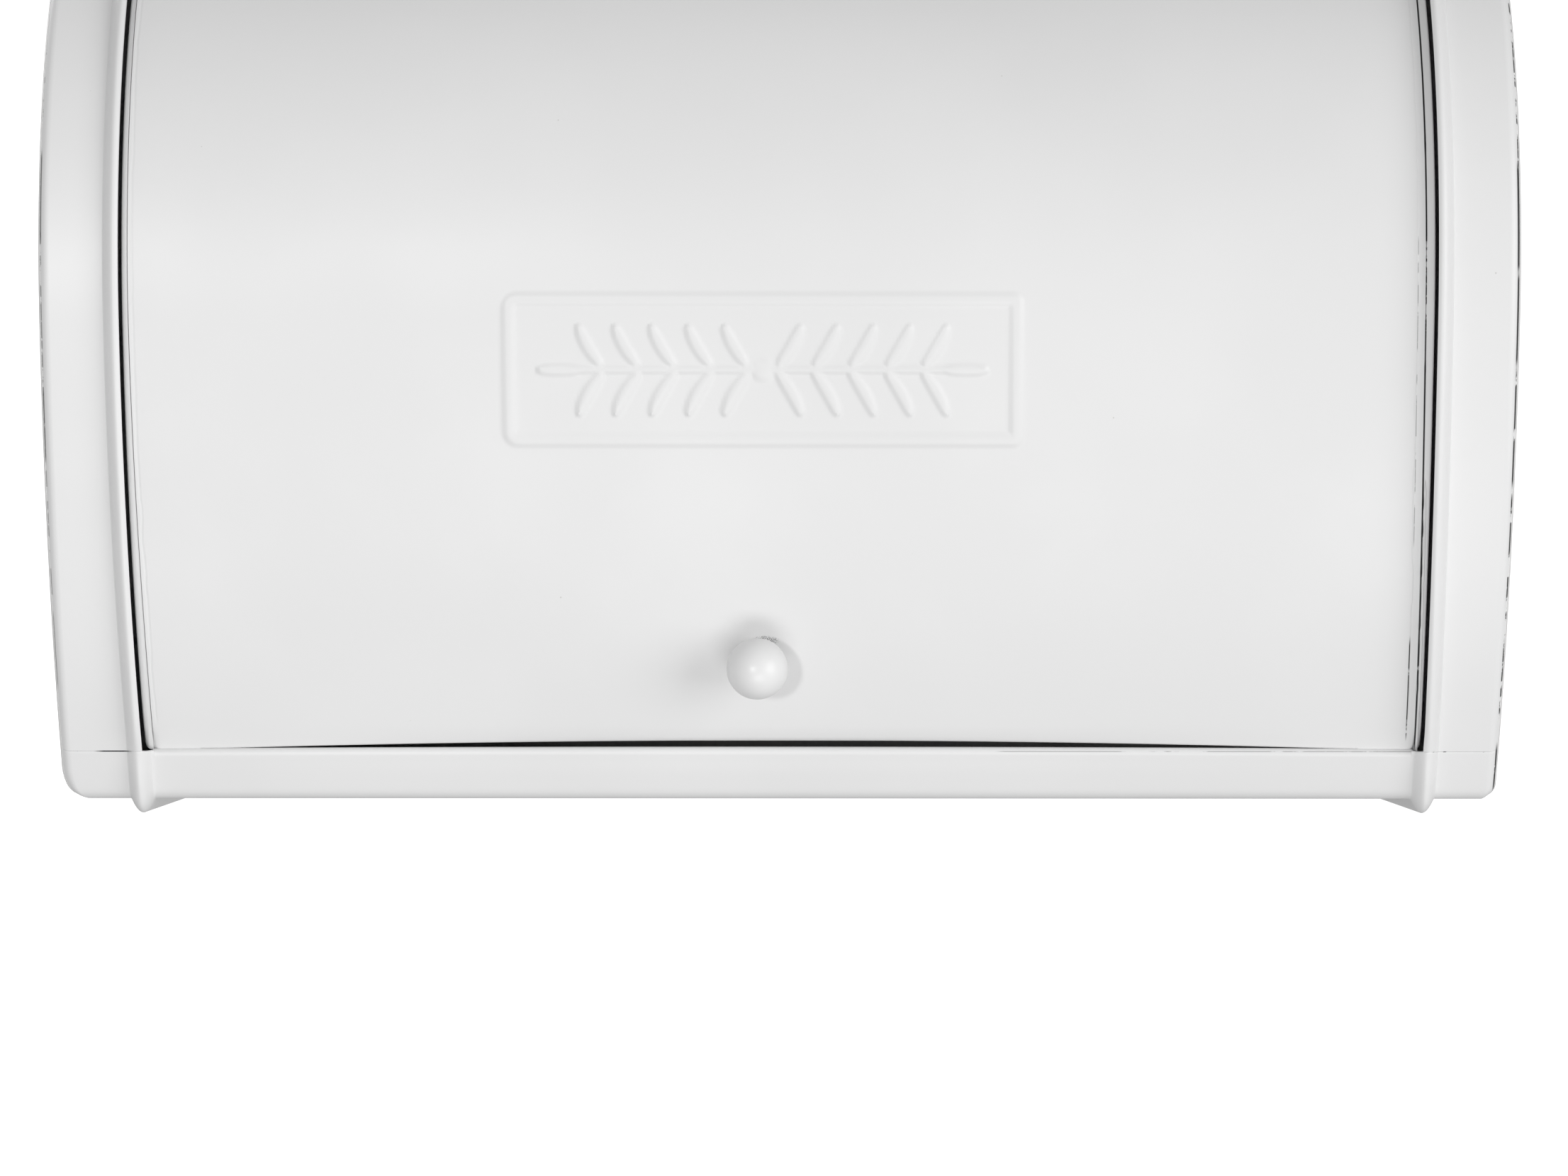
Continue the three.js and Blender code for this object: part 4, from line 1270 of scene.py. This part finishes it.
def lid_seams():
    """Where the edges of the lid sheet lie on the wings, and a crack in the coat along the flange's edge."""
    lid = settings()[1]
    right = lid.half_width - lid.sheet_left + SHEET_LINE_OUT
    edge = [("UPRIGHT", right, width, shown, dashes, 1.0, "Z", low, high)
            for width, shown, dashes, low, high in (
                (0.00032, 1.0, 60.0, 0.16, 0.24), (0.0003, 0.8, 120.0, 0.1384, 0.16),
                (0.00024, 0.55, 420.0, 0.1159, 0.1384), (0.00026, 0.65, 200.0, 0.1066, 0.1159),
                (0.00032, 0.95, 120.0, 0.0175, 0.1066))]
    crack = [("UPRIGHT", 0.1506, 0.0002, 0.85, 120.0, 1.0, "Z", 0.0205, 0.041),
             ("UPRIGHT", 0.1509, 0.00014, 0.6, 160.0, 0.5, "Z", 0.067, 0.136)]
    return (*edge, *crack)


def lid_creases():
    """Fine grooves where the edge of a wing's flange prints through the sheet."""
    return ((0.1509, 0.0004, 0.00007, 0.024, 0.25), (-0.1525, 0.0005, 0.00005, 0.024, 0.25))


def knob_shade_grains():
    """Painted shade as dark grains in the coat of the lid, just above the knob's ball, where its shade
    falls.
    """
    seat = knob_seat()[0]
    return ((seat.x + 0.0019, seat.z + 0.0025, 0.0038, 0.0014),)


# Stage

def area_light(name, power, size, place, aim):
    light = bpy.data.lights.new(name, "AREA")
    light.shape = "RECTANGLE"
    light.size, light.size_y = size
    light.energy = power
    lamp = bpy.data.objects.new(name, light)
    lamp.location = place
    lamp.rotation_euler = (Vector(aim) - Vector(place)).to_track_quat("-Z", "Y").to_euler()
    bpy.context.scene.collection.objects.link(lamp)


def build_floor():
    """One round pale sheet: the floor, curved up into a wall all round. It sends no light to the box."""
    stage = settings()[3]
    bend, height = stage.floor_bend, stage.wall_height
    flat = stage.floor_radius - bend
    curve = [(bend * (1 - math.cos(a)), flat + bend * math.sin(a)) for a in spread(0, RIGHT_ANGLE, 16)]
    bm = turned([(0, 0)] + curve + [(height, stage.floor_radius)], (0, 0, 1), Vector((0, 0, 0)), 96)
    material, _, shader = new_material("pale_floor")
    shader.inputs["Base Color"].default_value = (*stage.floor_colour, 1)
    shader.inputs["Roughness"].default_value = 0.9
    shader.inputs["Emission Color"].default_value = (1, 1, 1, 1)
    shader.inputs["Emission Strength"].default_value = stage.floor_glow
    floor = make_object("floor", bm, material)
    floor.visible_diffuse = False
    floor.visible_glossy = False
    floor.visible_shadow = False


AT_FRONT = (0, -0.08, 0.12)
AT_FOOT = (0, -0.08, 0.05)
# Each area light's name, size, place and aim. Its power is one of the stage's settings.
LIGHTS = (
    ("key", (4.0, 4.0), (4.7, -3.75, 0.45), AT_FRONT),
    ("fill", (0.24, 0.24), (-0.76, -2.7, 0.05), AT_FRONT),
    ("low", (1.0, 0.5), (0.1, -1.3, -0.8), AT_FOOT),
    ("back", (1.2, 1.2), (-1.5, 1.4, 1.3), AT_FRONT),
)


def build_lights():
    stage = settings()[3]
    world = bpy.data.worlds.new("studio")
    world.use_nodes = True
    world.node_tree.nodes["Background"].inputs["Strength"].default_value = stage.sky
    world.node_tree.nodes["Background"].inputs["Color"].default_value = (1, 1, 1, 1)
    bpy.context.scene.world = world
    for name, size, place, aim in LIGHTS:
        area_light(name, getattr(stage, f"{name}_power"), size, place, aim)


def build_camera():
    stage = settings()[3]
    camera_data = bpy.data.cameras.new("camera")
    camera_data.sensor_fit = "HORIZONTAL"
    camera_data.lens = camera_data.sensor_width * stage.focal_pixels / stage.picture_width
    camera_data.clip_start, camera_data.clip_end = 0.05, 20
    camera = bpy.data.objects.new("camera", camera_data)
    camera.location = (stage.camera_side, PIVOT.y - stage.camera_distance, stage.camera_height)
    camera.rotation_euler = (RIGHT_ANGLE, stage.camera_roll, 0)
    bpy.context.scene.collection.objects.link(camera)
    bpy.context.scene.camera = camera


# Operators

class BREADBOX_OT_wrap(bpy.types.Operator):
    """Build the wrap: the fixed top, the back and the two side bands with their beads"""
    bl_idname = "breadbox.wrap"
    bl_label = "Wrap"

    def execute(self, context):
        bm = build_wrap()
        tidy(bm)
        pierce_vents(bm)
        make_sheet("wrap", bm, coat_with_seams(), "box", "body_wrap")
        return {"FINISHED"}


class BREADBOX_OT_tray(bpy.types.Operator):
    """Build the tray: the bottom sheet with its front lip and the beads under it as runners"""
    bl_idname = "breadbox.tray"
    bl_label = "Tray"

    def execute(self, context):
        make_sheet("tray", build_tray(), coat_with_seams(), "box", "bottom_tray")
        return {"FINISHED"}


class BREADBOX_OT_side_panels(bpy.types.Operator):
    """Build the drawn side panels with their rolled hems, and the stops for the lid inside them"""
    bl_idname = "breadbox.side_panels"
    bl_label = "Side panels"

    def execute(self, context):
        coat = material_named("white_coat", coat_material)
        for name, sign in SIDES:
            make_sheet(f"end_panel_{name}", build_side_panel(sign), coat, "box", f"side_panel_{name}")
            for label, stop_angle in zip(("closed", "open"), stop_angles()):
                stop = make_piece(f"stop_{label}_{name}", build_lid_stop(sign, stop_angle), coat, "box")
        return {"FINISHED"}


class BREADBOX_OT_lid(bpy.types.Operator):
    """Build the lid sheet with its raised frame and ornament"""
    bl_idname = "breadbox.lid"
    bl_label = "Lid sheet"

    def execute(self, context):
        # The lid's coat carries painted shade as dark grains just above the knob.
        coat = material_named("white_coat_lid", coat_material, lid_seams(), lid_creases(), knob_shade_grains())
        make_sheet("lid_sheet", build_lid_panel(), coat, "lid", "lid_panel")
        return {"FINISHED"}


class BREADBOX_OT_wings(bpy.types.Operator):
    """Build the two pressed side plates that carry the lid"""
    bl_idname = "breadbox.wings"
    bl_label = "Wings"

    def execute(self, context):
        coat = material_named("white_coat_wing", coat_material, lid_seams())
        for name, sign in SIDES:
            make_sheet(f"wing_{name}", build_wing(sign), coat, "lid", f"lid_wing_{name}")
        return {"FINISHED"}


class BREADBOX_OT_knob(bpy.types.Operator):
    """Build the ball knob, and the screw that holds it from inside"""
    bl_idname = "breadbox.knob"
    bl_label = "Knob"

    def execute(self, context):
        # The knob's copy of the coat is 2% paler: painted light, which brightens the ball's shaded sides.
        material = material_named("white_coat_knob", coat_material, (), (), (), -0.07, 1.02)
        knob = make_piece("knob", build_knob(), material, "lid", "lid_knob")
        make_fastener("screw", build_knob_screw(), "lid", "knob_screw")
        return {"FINISHED"}


class BREADBOX_OT_pivots(bpy.types.Operator):
    """Build the rivets that the lid turns on"""
    bl_idname = "breadbox.pivots"
    bl_label = "Pivots"

    def execute(self, context):
        for name, sign in SIDES:
            make_fastener(f"rivet_{name}", build_pivot_rivet(sign), "box", f"pivot_rivet_{name}")
        return {"FINISHED"}


class BREADBOX_OT_washers(bpy.types.Operator):
    """Give the frame's washers and spacers their finish"""
    bl_idname = "breadbox.washers"
    bl_label = "Washers and spacers"

    def execute(self, context):
        zinc, nylon = ("zinc_steel", zinc_material), ("natural_nylon", nylon_material)
        finishes = {"pivot_washer": zinc, "knob_washer": zinc, "pivot_spacer": nylon}
        for name, node in frame["nodes"].items():
            for start, (material, build) in finishes.items():
                if name.startswith(start):
                    node.data.materials.clear()
                    node.data.materials.append(material_named(material, build))
        return {"FINISHED"}


class BREADBOX_OT_stage(bpy.types.Operator):
    """Build the floor, the lights and the camera"""
    bl_idname = "breadbox.stage"
    bl_label = "Stage"

    def execute(self, context):
        bpy.context.scene.view_settings.view_transform = "Standard"
        build_floor()
        build_lights()
        build_camera()
        return {"FINISHED"}


def coat_with_seams():
    return material_named("white_coat_body", coat_material, body_seams())


def make_fastener(name, bm, body, node):
    """A small turned piece of plated steel, whose flat faces stay flat against its round ones."""
    piece = make_piece(name, bm, material_named("zinc_steel", zinc_material), body, node)
    even_normals(piece, keep_sharp=True)
    piece.data.set_sharp_from_angle(angle=math.radians(40))


def stop_angles():
    """Where the two stops stand, about the pivot: under a closed wing and behind an open one."""
    body, lid, _, _ = settings()
    outline, _, low_end = wing_foot(lid)
    corner = outline.front_centre + reach(outline.front, low_end)
    low_angle = math.atan2(corner.z - PIVOT.z, corner.y) + 2 * math.pi
    from_pivot = body.arch_radius - body.stop_inside_arch
    clearance = math.asin((body.stop_foot_radius + body.seam_gap) / from_pivot)
    opened = math.radians(frame["joints"][0]["range_deg"][1])
    return low_angle + clearance, lid.top_angle - opened - clearance


PIECE_OPERATORS = (
    BREADBOX_OT_wrap, BREADBOX_OT_tray, BREADBOX_OT_side_panels, BREADBOX_OT_lid, BREADBOX_OT_wings,
    BREADBOX_OT_knob, BREADBOX_OT_pivots, BREADBOX_OT_washers,
)


class BREADBOX_PT_sidebar(bpy.types.Panel):
    """Lists the pieces of the bread box"""
    bl_idname = "BREADBOX_PT_sidebar"
    bl_label = "Roll-top bread box"
    bl_space_type = "VIEW_3D"
    bl_region_type = "UI"
    bl_category = "Bread Box"

    def draw(self, context):
        for operator in (*PIECE_OPERATORS, BREADBOX_OT_stage):
            self.layout.operator(operator.bl_idname)


SETTING_GROUPS = {
    "bread_box_body": BreadBoxBody, "bread_box_lid": BreadBoxLid,
    "bread_box_finish": BreadBoxFinish, "bread_box_stage": BreadBoxStage,
}
CLASSES = (*SETTING_GROUPS.values(), *PIECE_OPERATORS, BREADBOX_OT_stage, BREADBOX_PT_sidebar)


def register():
    for cls in CLASSES:
        bpy.utils.register_class(cls)
    for name, group in SETTING_GROUPS.items():
        setattr(bpy.types.Scene, name, PointerProperty(type=group))


def unregister():
    for name in SETTING_GROUPS:
        delattr(bpy.types.Scene, name)
    for cls in reversed(CLASSES):
        bpy.utils.unregister_class(cls)


def main():
    register()
    bpy.ops.breadbox.wrap()
    bpy.ops.breadbox.tray()
    bpy.ops.breadbox.side_panels()
    bpy.ops.breadbox.lid()
    bpy.ops.breadbox.wings()
    bpy.ops.breadbox.knob()
    bpy.ops.breadbox.pivots()
    bpy.ops.breadbox.washers()
    bpy.ops.breadbox.stage()


if __name__ == "__main__":
    main()
